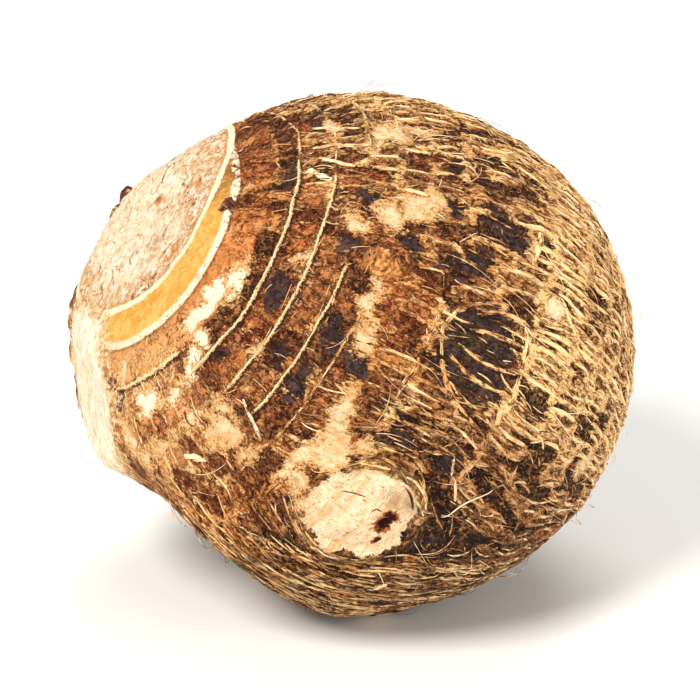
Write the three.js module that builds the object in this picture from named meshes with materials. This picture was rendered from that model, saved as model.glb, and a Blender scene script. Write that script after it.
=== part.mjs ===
// A cocoyam corm: the squat, ringed underground stem of a taro plant, trimmed and lying on its side.
// It grew as one piece, so it is one closed solid. Lengths are millimetres, angles are degrees, +Z is up.
// The origin is on the table, under the middle of the corm's outer box.
//
// Every point of the skin is given by a direction from the corm's middle and the distance to the skin there.
// "Polar" is the angle of that direction from the crown axis, and "around" is its angle about that axis.
import * as THREE from "three";
import { mergeVertices } from "three/addons/utils/BufferGeometryUtils.js";

// The plain body, before anything is trimmed: an egg with these half sizes along X, Y and Z.
const HALF_LENGTH = 44;
const HALF_WIDTH = 41.5;
const HALF_HEIGHT = 40.2;
const PRESSED_FLAT = 0.8; // how far the underside is flattened where it rests

// The crown axis runs from the middle to where the leaf stalks were cut off.
const CROWN_RISE = 36; // above the table
const CROWN_TURN = 19.5; // from -X towards -Y

// Flat places, each a plane at a distance from the middle that meets the body over a blend length.
// Rise is above the table, and turn is from -X towards -Y.
const LEAN_UNDERSIDE = { rise: -44, turn: 23, distance: 35.6, blend: 5 };
const LEAN_SHOULDER = { rise: 55, turn: -36, distance: 40.2, blend: 4 };
const CROWN_CUT = { rise: CROWN_RISE, turn: CROWN_TURN, distance: 38.3, blend: 1.5 };
const SIDE_SHOOT_CUT = { rise: -4, turn: 15, distance: 41.3, blend: 1 };

// The side shoot swelled the body before it was cut off.
const SIDE_SHOOT = { rise: -7, turn: 13, reach: 27, height: 5 };

// Leaf scars ring the crown axis, close together at the crown. Each is a low ridge.
const RINGS = [25, 33.5, 38.5, 46, 53.5, 60, 67, 74.5, 83, 92, 102, 113, 125, 139, 154];
const RING_HEIGHT = 0.35;
const RING_HALF_WIDTH = 1.1; // as a polar angle
const BAND_HOLLOW = 0.2; // the skin between two rings sags by this
const RINGS_FADE = { from: 50, to: 95, left: 0.35 }; // away from the crown only this share of them is left

// Round scars where small corms broke off: a low boss with a rim. Reach and height are millimetres.
const ROUND_SCARS = [
  { polar: 84, around: 249, reach: 9, height: 1.1 },
  { polar: 60, around: 300, reach: 4.6, height: 0.9 },
  { polar: 99, around: 308, reach: 3.4, height: 0.9 },
  { polar: 96, around: 118, reach: 7.5, height: 1.1 },
  { polar: 70, around: 48, reach: 5, height: 0.9 },
  { polar: 121, around: 205, reach: 5.5, height: 0.9 },
];

// The old root end, opposite the crown, closes in a shallow dimple.
const ROOT_DIMPLE = { reach: 11, depth: 2.2 };

const COLUMNS = 60; // around the crown axis
const BAND_ROWS = 2; // rows of faces across the skin between two rings

const radians = THREE.MathUtils.degToRad;

// The unit vector that rises above the table and turns from -X towards -Y.
function headingOf({ rise, turn }) {
  const level = Math.cos(radians(rise));
  return new THREE.Vector3(
    -level * Math.cos(radians(turn)),
    -level * Math.sin(radians(turn)),
    Math.sin(radians(rise)),
  );
}

const crownAxis = headingOf({ rise: CROWN_RISE, turn: CROWN_TURN });
const uphill = new THREE.Vector3(0, 0, 1).projectOnPlane(crownAxis).normalize();
const sideways = new THREE.Vector3().crossVectors(crownAxis, uphill);

function directionAt(polar, around) {
  const out = Math.sin(radians(polar));
  return crownAxis
    .clone()
    .multiplyScalar(Math.cos(radians(polar)))
    .addScaledVector(uphill, out * Math.cos(radians(around)))
    .addScaledVector(sideways, out * Math.sin(radians(around)));
}

// The smaller of two distances, with the corner between them rounded over a blend length.
function softMin(a, b, blend) {
  const share = THREE.MathUtils.clamp(0.5 + (b - a) / (2 * blend), 0, 1);
  return b + (a - b) * share - blend * share * (1 - share);
}

function trimmed(distance, direction, plane) {
  const facing = Math.max(direction.dot(plane.normal), 0.05);
  return softMin(distance, plane.distance / facing, plane.blend);
}

const withNormal = (plane) => ({ ...plane, normal: headingOf(plane) });
const bodyFlats = [LEAN_UNDERSIDE, LEAN_SHOULDER].map(withNormal);
const knifeCuts = [CROWN_CUT, SIDE_SHOOT_CUT].map(withNormal);
const shootHeading = headingOf(SIDE_SHOOT);

// A rounded mound, 1 in the middle and 0 from the edge outwards. Share is the way out to the edge.
const mound = (share) => (share < 1 ? (1 - share * share) ** 2 : 0);

// The egg, leaned and flattened, with the side shoot's swelling and the two knife cuts.
function bodyDistance(direction) {
  const halfSizes = new THREE.Vector3(HALF_LENGTH, HALF_WIDTH, HALF_HEIGHT);
  let distance = 1 / direction.clone().divide(halfSizes).length();
  for (const flat of bodyFlats) distance = trimmed(distance, direction, flat);
  const fromShoot = THREE.MathUtils.radToDeg(direction.angleTo(shootHeading));
  distance += SIDE_SHOOT.height * mound(fromShoot / SIDE_SHOOT.reach);
  for (const cut of knifeCuts) distance = trimmed(distance, direction, cut);
  return distance;
}

// Leaf scars: a ridge on each ring, and the skin sagging a little between two of them.
function ringRelief(polar) {
  const nearest = Math.min(...RINGS.map((ring) => Math.abs(polar - ring)));
  const ridge = RING_HEIGHT * Math.max(0, 1 - nearest / RING_HALF_WIDTH);
  const inBand = polar > RINGS[0] && polar < RINGS[RINGS.length - 1];
  const hollow = inBand ? BAND_HOLLOW * Math.min(1, nearest / (3 * RING_HALF_WIDTH)) : 0;
  const faded = THREE.MathUtils.smoothstep(polar, RINGS_FADE.from, RINGS_FADE.to);
  return (ridge - hollow) * THREE.MathUtils.lerp(1, RINGS_FADE.left, faded);
}

const scarsWithHeadings = ROUND_SCARS.map((scar) => ({
  ...scar,
  heading: directionAt(scar.polar, scar.around),
}));

function scarRelief(direction, distance) {
  let relief = 0;
  for (const scar of scarsWithHeadings) {
    relief += scar.height * mound((direction.angleTo(scar.heading) * distance) / scar.reach);
  }
  return relief;
}

function dimpleRelief(polar, distance) {
  const fromRootEnd = radians(180 - polar) * distance;
  return -ROOT_DIMPLE.depth * mound(fromRootEnd / ROOT_DIMPLE.reach);
}

// Rows of the net: the two poles, each ring with its two feet, and even steps between them.
function polarRows() {
  const stops = [0, 6, 12, 18];
  for (const ring of RINGS) {
    stops.push(ring - RING_HALF_WIDTH, ring, ring + RING_HALF_WIDTH);
  }
  stops.push(169, 180);
  const rows = [];
  stops.forEach((stop, i) => {
    rows.push(stop);
    const gap = (stops[i + 1] ?? stop) - stop;
    if (gap <= 2 * RING_HALF_WIDTH) return;
    for (let k = 1; k < BAND_ROWS; k++) rows.push(stop + (gap * k) / BAND_ROWS);
  });
  return rows;
}

// A unit ball with those rows, turned about +Y, as a closed net whose points are shared.
function ballNet() {
  const profile = polarRows()
    .reverse()
    .map((polar) => {
      const out = polar === 0 || polar === 180 ? 0 : Math.sin(radians(polar));
      return new THREE.Vector2(out, Math.cos(radians(polar)));
    });
  const lathe = new THREE.LatheGeometry(profile, COLUMNS);
  lathe.deleteAttribute("normal");
  lathe.deleteAttribute("uv");
  return mergeVertices(lathe, 1e-4);
}

// Pushes each point of the ball out to the skin, stands the corm on the table and centres its box.
function cormGeometry() {
  const geometry = ballNet();
  const points = geometry.getAttribute("position");
  for (let i = 0; i < points.count; i++) {
    const onBall = new THREE.Vector3().fromBufferAttribute(points, i).normalize();
    const polar = THREE.MathUtils.radToDeg(Math.acos(THREE.MathUtils.clamp(onBall.y, -1, 1)));
    const direction = crownAxis
      .clone()
      .multiplyScalar(onBall.y)
      .addScaledVector(uphill, onBall.z)
      .addScaledVector(sideways, onBall.x);
    let distance = bodyDistance(direction);
    distance += ringRelief(polar) + scarRelief(direction, distance) + dimpleRelief(polar, distance);
    const point = direction.multiplyScalar(distance);
    point.z = Math.max(point.z + HALF_HEIGHT - PRESSED_FLAT, 0);
    points.setXYZ(i, point.x, point.y, point.z);
  }
  geometry.computeBoundingBox();
  const middle = geometry.boundingBox.getCenter(new THREE.Vector3());
  geometry.translate(-middle.x, -middle.y, 0);
  geometry.computeVertexNormals();
  return geometry;
}

const barkMaterial = new THREE.MeshStandardMaterial({
  color: 0x9c6a36,
  roughness: 0.85,
  metalness: 0,
});

const corm = new THREE.Mesh(cormGeometry(), barkMaterial);
corm.name = "corm";

const cocoyam = new THREE.Group();
cocoyam.name = "cocoyam";
cocoyam.add(corm);

export default cocoyam;
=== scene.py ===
"""A cocoyam corm on its side: a ringed, fibrous underground stem, its leaf stalks and side shoots cut off.

Every point of the corm is named by two angles in degrees, seen from the corm's middle. "Polar" is the angle
from the crown axis, which runs from the middle to where the leaf stalks were cut off. "Around" is the angle
about that axis, counted from the uphill side. Lengths are mm until a mesh is made, which is in metres.
"""

import math

import bpy
import numpy as np
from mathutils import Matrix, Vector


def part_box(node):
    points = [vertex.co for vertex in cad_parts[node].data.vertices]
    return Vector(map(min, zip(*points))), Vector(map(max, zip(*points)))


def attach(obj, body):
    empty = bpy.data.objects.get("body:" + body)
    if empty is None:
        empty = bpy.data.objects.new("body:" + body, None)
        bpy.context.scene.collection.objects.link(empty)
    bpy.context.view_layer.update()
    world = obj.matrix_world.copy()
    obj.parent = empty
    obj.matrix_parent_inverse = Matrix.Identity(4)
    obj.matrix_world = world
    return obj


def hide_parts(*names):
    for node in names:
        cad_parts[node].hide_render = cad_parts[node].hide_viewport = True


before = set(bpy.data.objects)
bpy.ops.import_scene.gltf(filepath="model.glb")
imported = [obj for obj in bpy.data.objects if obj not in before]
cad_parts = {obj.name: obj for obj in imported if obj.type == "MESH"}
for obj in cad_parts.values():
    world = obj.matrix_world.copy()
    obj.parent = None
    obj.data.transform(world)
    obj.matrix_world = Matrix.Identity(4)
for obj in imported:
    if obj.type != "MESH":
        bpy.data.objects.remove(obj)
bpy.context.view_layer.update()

MM = 0.001
corm_low, corm_high = (np.array(corner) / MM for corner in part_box("corm"))

# ------------------------------------------------------------------------------------- the corm's own sizes
HALF_SIZES = np.array([44.0, 41.5, 40.2])  # half length, half width and half height of the plain egg
PRESSED_FLAT = 0.8  # how far the underside is flattened where it rests
CROWN = (36.0, 19.5)  # a heading: rise above the floor, turn from -X towards -Y
SIDE_SHOOT = (-7.0, 13.0)
SIDE_SHOOT_REACH, SIDE_SHOOT_HEIGHT = 27.0, 5.0  # degrees, mm
LEANS = [((-44.0, 23.0), 35.6, 5.0), ((55.0, -36.0), 40.2, 4.0)]  # heading, distance, blend
CROWN_CUT = (CROWN, 38.3, 1.5)
SIDE_CUT = ((-4.0, 15.0), 41.3, 1.0)
SIDE_CUT_REACH = 19.2  # degrees
GIRTH = 41.5  # a typical distance from the middle to the skin
MM_PER_DEGREE = math.radians(GIRTH)

# The slanting slice that took the leaf stalks off: a circle on the skin
STALK_CUT = dict(polar=12.5, around=75.0, reach=25.8)

# Seen from the front, polar runs from the cut crown at the left (0) over its clear rings (25 to 74) to the
# root end (180), and around runs from the bottom edge (190) by the large scar (249) to the top edge (384,
# which is also 24).

# Leaf scars: polar angle, width of the pale lip in mm, and how clear it is over spans of the around angle
LEAF_SCARS = [
    (24.9, 1.15, [(150, 330, 1.0), (330, 510, 0.55)]),
    (33.6, 0.46, [(208, 247, 0.95), (20, 170, 0.75), (330, 362, 0.45)]),
    (38.5, 0.42, [(243, 333, 1.0), (333, 380, 0.6), (20, 190, 0.8)]),
    (46.2, 0.38, [(250, 325, 0.95), (325, 370, 0.45), (30, 185, 0.75)]),
    (53.4, 0.36, [(251, 297, 0.9), (335, 520, 0.6), (222, 240, 0.3)]),
    (60.0, 0.34, [(236, 291, 0.55), (345, 520, 0.5)]),
    (67.0, 0.32, [(215, 240, 0.3), (0, 150, 0.5)]),
    (74.4, 0.32, [(276, 293, 0.4), (30, 160, 0.4)]),
    (83.0, 0.32, [(0, 360, 0.20)]),
    (92.0, 0.32, [(0, 360, 0.16)]),
    (102.0, 0.30, [(0, 360, 0.13)]),
    (113.0, 0.30, [(0, 360, 0.13)]),
    (125.0, 0.30, [(0, 360, 0.12)]),
    (139.0, 0.30, [(0, 360, 0.12)]),
    (154.0, 0.30, [(0, 360, 0.12)]),
]

# Rows of bark cells: the polar angle where each begins, and how wide its cells are in mm
CELL_ROWS = [
    (0.0, 3.0), (24.9, 2.6), (33.6, 2.4), (38.5, 2.4), (46.2, 2.3), (53.4, 2.3), (60.0, 2.3), (67.0, 2.2),
    (74.4, 2.3), (85.5, 2.3), (96.7, 1.45), (108.5, 1.5), (115.0, 1.5), (121.5, 1.5), (128.5, 1.5),
    (136.0, 1.5), (145.0, 1.6), (156.0, 1.7),
]

# Where side corms and buds sat: polar, around, reach in mm
CORMEL_SCAR = (84.0, 249.0, 8.6)
SWIRL_BUD = (59.5, 300.3, 2.3)
PALE_BUD = (99.0, 308.0, 1.9)
BACK_CORMEL_SCAR = (96.0, 118.0, 6.4)
BACK_BUD = (70.0, 48.0, 3.9)
LOW_BUD = (121.0, 205.0, 4.4)
ROUND_SCARS = [CORMEL_SCAR, SWIRL_BUD, PALE_BUD, BACK_CORMEL_SCAR, BACK_BUD, LOW_BUD]

# Patches are polar, around, half length along the meridian and half width across it in mm, and a tilt in
# degrees
BARE_PATCHES = [
    (66.5, 253, 1.5, 3.6, 8), (69.0, 246, 1.6, 1.6, 0), (73.5, 243, 1.2, 1.2, 0),
    (69.5, 259.5, 1.4, 2.2, 20), (31.0, 266, 1.2, 5.2, 4), (33.2, 281, 0.9, 3.0, -14),
    (34.8, 254, 1.6, 1.5, 30), (37.4, 247.5, 0.9, 1.4, 0), (39.0, 241, 1.3, 0.8, 0),
    (30.6, 215, 1.8, 0.7, 0), (38.2, 223, 1.9, 2.0, 10), (40.3, 233, 1.0, 1.8, 0),
    (48.5, 220, 0.9, 1.7, -20), (52.0, 309, 1.3, 1.4, 0), (59.0, 343, 2.5, 2.4, 0),
    (56.6, 337, 0.7, 2.4, 25), (64.5, 345.5, 2.3, 1.0, 12), (59.5, 314, 2.3, 1.8, 30),
    (65.0, 317.5, 2.6, 1.7, -10), (68.5, 321, 1.5, 2.3, 0), (63.0, 282.0, 1.2, 2.4, 0),
    (60.8, 290.0, 0.8, 2.2, -12), (60.8, 294.6, 1.0, 0.9, 0), (67.5, 264, 1.5, 4.3, -12),
    (71.0, 257, 2.2, 2.4, 35), (66.8, 246.5, 1.0, 2.4, 10), (92.0, 317.5, 0.9, 2.0, -10),
    (44.6, 296, 0.6, 1.1, 0), (44.8, 265, 0.6, 0.9, 0), (50.5, 243, 1.7, 0.8, 0), (47.0, 348, 1.0, 1.8, 0),
    (74.5, 262, 1.2, 1.5, 0), (45.0, 208, 2.4, 1.5, 10), (52.5, 241, 1.7, 2.1, 20),
    (46.0, 236, 1.1, 1.1, 0), (47.5, 246.5, 1.5, 1.0, 0), (59.0, 243, 1.2, 1.7, 0),
    (48.5, 212, 1.0, 1.6, 0), (48.0, 62, 1.6, 4.2, 0), (58.0, 92, 3.0, 1.8, 10), (80.0, 150, 2.2, 3.4, -20),
    (112.0, 60, 2.4, 1.6, 0), (104.0, 172, 1.8, 3.0, 15), (128.0, 282, 2.0, 1.4, 0),
    (133.0, 20, 2.6, 2.0, 0), (88.0, 20, 2.0, 1.3, 20),
]
BLACK_PATCHES = [
    (71.0, 242.0, 1.1, 1.4, 0), (76.5, 235.0, 1.0, 1.2, 0), (34.5, 207, 1.6, 1.8, 0),
    (42.3, 283, 1.9, 3.2, 0), (41.0, 257.5, 1.2, 1.7, 0), (36.8, 325, 1.1, 2.6, 0),
    (56.3, 265, 1.7, 3.0, 0), (57.0, 280, 1.4, 3.2, 0), (50.0, 268, 1.3, 2.2, 0), (52.5, 302, 1.4, 1.2, 30),
    (65.2, 308, 2.3, 1.9, 0), (75.3, 307, 2.6, 3.1, 0), (72.3, 320, 1.6, 2.4, 0), (72.5, 333, 1.6, 2.4, 10),
    (70.3, 241, 0.9, 1.3, 0), (76.5, 236, 1.0, 1.2, 30), (64.8, 276, 2.0, 2.0, 0), (85.5, 290, 6.2, 8.2, 0),
    (79.5, 269, 2.6, 2.2, 0), (93.0, 269, 2.0, 2.0, 0), (83.0, 322, 2.4, 2.7, 0), (80.0, 309, 2.0, 2.4, 10),
    (78.5, 334, 1.6, 3.2, 0), (86.5, 318, 3.0, 1.0, -20), (45.0, 350, 1.6, 2.6, 0), (47.0, 5, 1.4, 2.6, 0),
    (54.0, 318, 1.0, 2.2, 0), (98.0, 243.5, 1.2, 2.0, 0), (101.0, 250.0, 1.2, 2.2, 10),
    (72.5, 272, 1.2, 1.6, 0), (62.0, 120, 3.0, 4.0, 0), (78.0, 78, 4.0, 3.0, 10), (97.0, 150, 3.2, 2.4, 0),
    (52.0, 150, 1.6, 3.4, 0), (116.0, 105, 3.6, 2.2, 0), (84.0, 178, 3.0, 2.6, 0),
    (135.0, 165, 3.4, 2.6, 0),
]
RUST_PATCHES = [
    (67.5, 293, 5.2, 6.4, 0), (71.0, 295, 1.6, 3.6, 0), (88.0, 257, 2.4, 1.2, 20), (56.0, 222, 1.8, 1.6, 0),
    (43.0, 305, 3.0, 5.0, 0), (52.0, 325, 4.0, 4.4, 0), (66.0, 333, 3.0, 4.4, 0), (55.0, 75, 5.0, 6.0, 0),
    (90.0, 88, 5.0, 6.0, 0),
]
FACE_SMEARS = [
    (6.0, 262, 0.6, 1.9, 20), (9.5, 279, 0.8, 1.6, 0), (10.0, 268, 0.7, 0.9, 0), (16.0, 355, 1.0, 0.9, 0),
    (14.0, 310, 0.5, 2.0, 30), (3.5, 120, 0.6, 1.2, 0), (13.0, 60, 1.0, 1.4, 0),
]

# Single strips: width, height and lift in mm, tone, and way-points of polar and around
DRAWN_RIDGES = [
    (1.20, 0.25, 0.05, 0.40, [(97.4, 264), (96.0, 268), (97.0, 273), (95.6, 277)]),
    (1.50, 0.30, 0.05, 0.45, [(96.8, 279.5), (95.8, 283), (97.6, 287), (96.6, 291)]),
    (1.30, 0.28, 0.05, 0.42, [(97.4, 290), (95.8, 294), (96.0, 298), (93.4, 301)]),
    (0.80, 0.26, 0.05, 0.37, [(92.0, 278), (86.0, 279.4), (81.5, 282.5), (77.8, 287.5), (76.0, 293)]),
    (0.78, 0.26, 0.05, 0.32, [(76.0, 291), (77.5, 296.5), (81.0, 300), (86.0, 302.5)]),
    (0.75, 0.28, 0.07, 0.36, [(96.0, 281.5), (90.0, 280.4), (84.5, 281.8), (80.5, 284.8)]),
    (0.85, 0.30, 0.07, 0.38, [(95.8, 286.5), (90.0, 285.6), (84.0, 286.0), (79.5, 288.2)]),
    (0.72, 0.30, 0.07, 0.36, [(96.0, 291.0), (90.0, 289.8), (85.0, 289.6), (80.0, 290.8)]),
    (0.80, 0.30, 0.07, 0.34, [(95.8, 296.8), (90.5, 296.4), (85.0, 295.4), (80.5, 294.2)]),
    (0.66, 0.28, 0.07, 0.34, [(94.5, 301.0), (90.0, 301.4), (85.5, 300.2), (81.5, 297.8)]),
    (0.72, 0.28, 0.07, 0.34, [(96.5, 275.0), (91.0, 274.0), (85.0, 272.8), (80.5, 271.2), (77.0, 270.8)]),
    (0.85, 0.30, 0.05, 0.32, [(90.0, 277.0), (84.5, 275.4), (79.0, 274.6), (75.5, 272.5)]),
    (0.80, 0.22, 0.05, 0.30, [(74.8, 274), (74.0, 278), (75.2, 282), (74.2, 285)]),
    (0.70, 0.20, 0.05, 0.30, [(74.0, 288), (75.0, 291), (74.4, 296)]),
    (1.17, 0.30, 0.05, 0.37, [(92.5, 313), (92.0, 317), (93.0, 321), (92.0, 325)]),
    (0.80, 0.26, 0.07, 0.75, [(40.5, 333.2), (46.0, 331.0), (52.0, 329.0)]),
    (0.70, 0.24, 0.07, 0.65, [(41.0, 339.6), (46.0, 338.0), (51.0, 336.6)]),
    (0.75, 0.24, 0.07, 0.75, [(42.0, 352.0), (47.5, 348.6), (53.0, 344.8)]),
]
PALE_SLIVERS = [
    (0.50, 0.18, 0.22, 0.45, [(49.6, 252.6), (53.5, 250.8), (58.4, 248.6)]),
    (1.05, 0.10, 0.14, 0.60, [(51.2, 226.2), (52.4, 229.5), (54.4, 232.4)]),
    (1.25, 0.10, 0.14, 0.70, [(40.2, 328.4), (43.2, 325.6), (46.4, 323.4)]),
    (0.17, 0.12, 0.90, 0.80, [(98.6, 257.4), (99.4, 260.0), (100.0, 263.0), (102.5, 266.0), (105.8, 268.2)]),
    (0.70, 0.25, 0.20, 0.80, [(103.2, 231.0), (102.6, 233.0), (103.6, 235.0)]),
]
DRY_REMNANTS = [
    (1.8, 1.0, 0.00, 0.45, [(26.0, 83.0), (28.2, 87.0), (31.0, 92.0)]),
    (1.0, 0.6, 0.00, 0.60, [(26.6, 92.0), (28.4, 96.0), (29.8, 100.0)]),
    (0.24, 0.10, 0.10, 0.75, [(74.5, 247.0), (76.4, 251.0), (79.0, 252.6), (82.0, 253.2), (85.0, 255.4)]),
    (0.26, 0.10, 0.10, 0.40, [(85.0, 251.0), (85.4, 252.6), (87.8, 252.4)]),
    (0.55, 0.12, 0.10, 0.50, [(73.0, 257.6), (75.0, 259.6), (76.0, 260.6)]),
    (0.60, 0.14, 0.10, 0.35, [(86.6, 260.0), (89.6, 259.0), (92.6, 256.0)]),
    (0.40, 0.12, 0.10, 0.50, [(96.4, 249.0), (95.0, 252.0), (93.4, 253.6)]),
    (2.8, 0.35, 0.25, 0.55, [(22.4, 315.0), (24.2, 312.8), (26.4, 309.0)]),
]

# Where roots grew: polar, around, reach in mm
ROOT_SCARS = [
    (72.6, 262.0, 0.9), (96.3, 257.2, 0.9), (73.0, 263.6, 0.8), (88.0, 333, 1.0), (79.0, 341, 1.1),
    (94.0, 327, 0.9), (104.0, 296, 0.7), (112.0, 318, 0.8), (118.0, 299, 0.9), (123.5, 281, 1.0),
    (112.0, 272, 0.8), (105.0, 231, 1.0), (69.0, 228, 0.9), (61.5, 352, 0.9), (83.5, 276, 0.8),
    (128, 309, 0.9), (134, 262, 1.1), (101, 205, 1.0), (88, 190, 1.1), (73, 170, 1.0), (64, 140, 1.2),
    (83, 96, 1.1), (92, 66, 1.0), (104, 84, 1.0), (110, 136, 1.2), (124, 152, 1.0), (121, 58, 1.1),
    (108, 20, 1.0), (96, 2, 1.1), (138, 100, 1.1), (141, 232, 1.0), (146, 330, 1.1), (132, 350, 1.0),
    (150, 40, 1.0), (76, 14, 1.0),
]

# The hole that the side corm's vein left: polar, around, half length, half width and depth in mm
VEIN_HOLE = (89.6, 250.0, 0.85, 1.35, 1.5)
# Dark spots on the scars: polar, around, half length and half width in mm
DARK_SPOTS = [
    (89.6, 249.8, 1.2, 1.8), (91.6, 245.4, 0.6, 1.3), (89.6, 252.6, 1.4, 0.9), (99.5, 120.0, 1.0, 1.4),
]
ROOT_DIMPLE_REACH, ROOT_DIMPLE_DEPTH = 11.0, 2.0  # mm
LAST_FIBRE = 172.0  # the polar angle beyond which no scattered fibre lies


# ----------------------------------------------------------------------------------------- plain arithmetic
def step(value, low, high):
    """0 below low, 1 above high, and a smooth S between them."""
    share = np.clip((value - low) / (high - low), 0, 1)
    return share * share * (3 - 2 * share)


def bell(value, width):
    """1 where the value is 0, falling off smoothly on both sides of it, to about a third at the width."""
    return np.exp(-((value / width) ** 2))


def blend(first, second, share):
    """The first value where share is 0, the second where it is 1."""
    return first + (second - first) * share


def evened_out(rows, times):
    """Rows softened that many times by a running mean of three along each row, with their ends kept."""
    rows = rows.copy()
    for _ in range(times):
        rows[:, 1:-1] = (rows[:, :-2] + rows[:, 1:-1] + rows[:, 2:]) / 3
    return rows


def turn_between(around, other):
    """The signed angle from other to around, from -180 to 180."""
    return (around - other + 180) % 360 - 180


def span(around, start, end, soft=4.0):
    """1 on the stretch of the around angle from start to end, fading over a soft edge."""
    if end - start >= 360:
        return np.ones_like(around)
    middle, half = (start + end) / 2, (end - start) / 2
    return 1 - step(np.abs(turn_between(around, middle)), half - soft, half + soft)


def scramble(cells, seed):
    """A fixed pseudo-random whole number under 2^32 for each cell of a lattice, by multiply and shift."""
    mixed = cells[..., 0] * 374761393 + cells[..., 1] * 668265263 + cells[..., 2] * 974634777 + seed * 362437
    mixed = mixed & 0xFFFFFFFF
    mixed = ((mixed ^ (mixed >> 13)) * 1274126177) & 0xFFFFFFFF
    mixed = ((mixed ^ (mixed >> 15)) * 668265263) & 0xFFFFFFFF
    return mixed ^ (mixed >> 16)


def random_vectors(cells, seed):
    """Three numbers from -1 to 1 for each lattice cell."""
    mixed = scramble(cells, seed)
    parts = np.stack([mixed & 1023, (mixed >> 10) & 1023, (mixed >> 20) & 1023], -1)
    return parts / 511.5 - 1


def gradient_noise(points, seed):
    """Smooth noise of about -1 to 1: each corner of the lattice holds a slope, and eight slopes are blended."""
    cells = np.floor(points).astype(np.int64)
    within = points - cells
    ease = within ** 3 * (within * (within * 6 - 15) + 10)
    total = np.zeros(points.shape[:-1])
    for corner in np.ndindex(2, 2, 2):
        corner = np.array(corner)
        slope = random_vectors(cells + corner, seed)
        weight = np.prod(np.where(corner == 1, ease, 1 - ease), axis=-1)
        total += weight * np.sum(slope * (within - corner), axis=-1)
    return total * 1.3


def layered_noise(points, size, layers, seed):
    """Noise with lumps of one size in mm, and layers of half the size and half the height on top."""
    total = np.zeros(points.shape[:-1])
    for layer in range(layers):
        total += gradient_noise(points * (2 ** layer / size), seed + layer) / 2 ** layer
    return total


# ----------------------------------------------------------------------------------------- the corm's shape
def heading(rise, turn):
    """The unit vector that rises above the floor and turns from -X towards -Y."""
    rise, turn = math.radians(rise), math.radians(turn)
    return np.array([-math.cos(rise) * math.cos(turn), -math.cos(rise) * math.sin(turn), math.sin(rise)])


crown_axis = heading(*CROWN)
uphill = np.array([0.0, 0.0, 1.0]) - crown_axis * crown_axis[2]
uphill /= np.linalg.norm(uphill)
sideways = np.cross(crown_axis, uphill)


def direction_at(polar, around):
    """Cosine of polar along the crown axis, and sine of polar across it, turned by around."""
    polar, around = np.radians(polar)[..., None], np.radians(around)[..., None]
    across = np.cos(around) * uphill + np.sin(around) * sideways
    return np.cos(polar) * crown_axis + np.sin(polar) * across


def soft_min(first, second, length):
    """The smaller of two distances, with the corner between them rounded over a length."""
    share = np.clip(0.5 + (second - first) / (2 * length), 0, 1)
    return second + (first - second) * share - length * share * (1 - share)


def trimmed(distance, direction, plane):
    """A distance cut short by a plane that faces a heading."""
    (rise, turn), plane_distance, length = plane
    facing = np.maximum(direction @ heading(rise, turn), 0.05)
    return soft_min(distance, plane_distance / facing, length)


def mound(share):
    """1 in the middle and 0 from share 1 outwards: one less share squared, squared."""
    return np.clip(1 - share * share, 0, 1) ** 2


def body_distance(polar, around):
    """The egg's radius, leaned on by two soft planes, swollen by the side shoot, then cut by two planes."""
    direction = direction_at(polar, around)
    distance = 1 / np.linalg.norm(direction / HALF_SIZES, axis=-1)
    for plane in LEANS:
        distance = trimmed(distance, direction, plane)
    from_shoot = np.degrees(np.arccos(np.clip(direction @ heading(*SIDE_SHOOT), -1, 1)))
    distance = distance + SIDE_SHOOT_HEIGHT * mound(from_shoot / SIDE_SHOOT_REACH)
    for plane in (CROWN_CUT, SIDE_CUT):
        distance = trimmed(distance, direction, plane)
    return distance


def measure_body():
    """The scale and shift that set the plain body's own box on the CAD corm's box."""
    polar, around = np.meshgrid(np.linspace(0, 180, 181), np.linspace(0, 360, 361), indexing="ij")
    points = direction_at(polar, around) * body_distance(polar, around)[..., None]
    points[..., 2] = np.maximum(points[..., 2], PRESSED_FLAT - HALF_SIZES[2])
    low, high = points.min(axis=(0, 1)), points.max(axis=(0, 1))
    scale = (corm_high - corm_low) / (high - low)
    return scale, corm_low - low * scale


body_scale, body_middle = measure_body()


def place(polar, around, distance):
    """Points at a distance from the corm's middle, set on the frame's corm and kept above the floor."""
    points = direction_at(polar, around) * distance[..., None] * body_scale + body_middle
    points[..., 2] = np.maximum(points[..., 2], 0)
    return points


# -------------------------------------------------------------------------------- where the marks are on it
def offsets_from(polar, around, at_polar, at_around):
    """How far a point is from a mark, in mm: along the meridian and across it."""
    along = (polar - at_polar) * MM_PER_DEGREE
    across = turn_between(around, at_around) * MM_PER_DEGREE * np.sin(np.radians(at_polar))
    return along, across


def depth_in_patches(polar, around, patches):
    """How deep a point lies inside the nearest of the patches, in mm, and below 0 outside them."""
    deepest = np.full(polar.shape, -6.0)
    for at_polar, at_around, half_long, half_wide, tilt in patches:
        along, across = offsets_from(polar, around, at_polar, at_around)
        cos, sin = math.cos(math.radians(tilt)), math.sin(math.radians(tilt))
        share = np.hypot((along * cos - across * sin) / half_long, (along * sin + across * cos) / half_wide)
        deepest = np.maximum(deepest, (1 - share) * math.sqrt(half_long * half_wide))
    return deepest


def distance_from(polar, around, scar):
    """How far a point is from a round scar's middle, in mm."""
    along, across = offsets_from(polar, around, scar[0], scar[1])
    return np.hypot(along, across)


def inside_stalk_cut(polar, around):
    """Depth inside the leaf stalks' slice, in mm: its reach less the angle to its middle."""
    middle = direction_at(np.array(STALK_CUT["polar"]), np.array(STALK_CUT["around"]))
    angle = np.degrees(np.arccos(np.clip(direction_at(polar, around) @ middle, -1, 1)))
    return (STALK_CUT["reach"] - angle) * MM_PER_DEGREE


def inside_side_cut(polar, around):
    """Depth inside the bare part of the side shoot's slice, in mm, found in the same way."""
    middle = heading(*SIDE_CUT[0])
    angle = np.degrees(np.arccos(np.clip(direction_at(polar, around) @ middle, -1, 1)))
    return (SIDE_CUT_REACH - angle) * MM_PER_DEGREE


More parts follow.
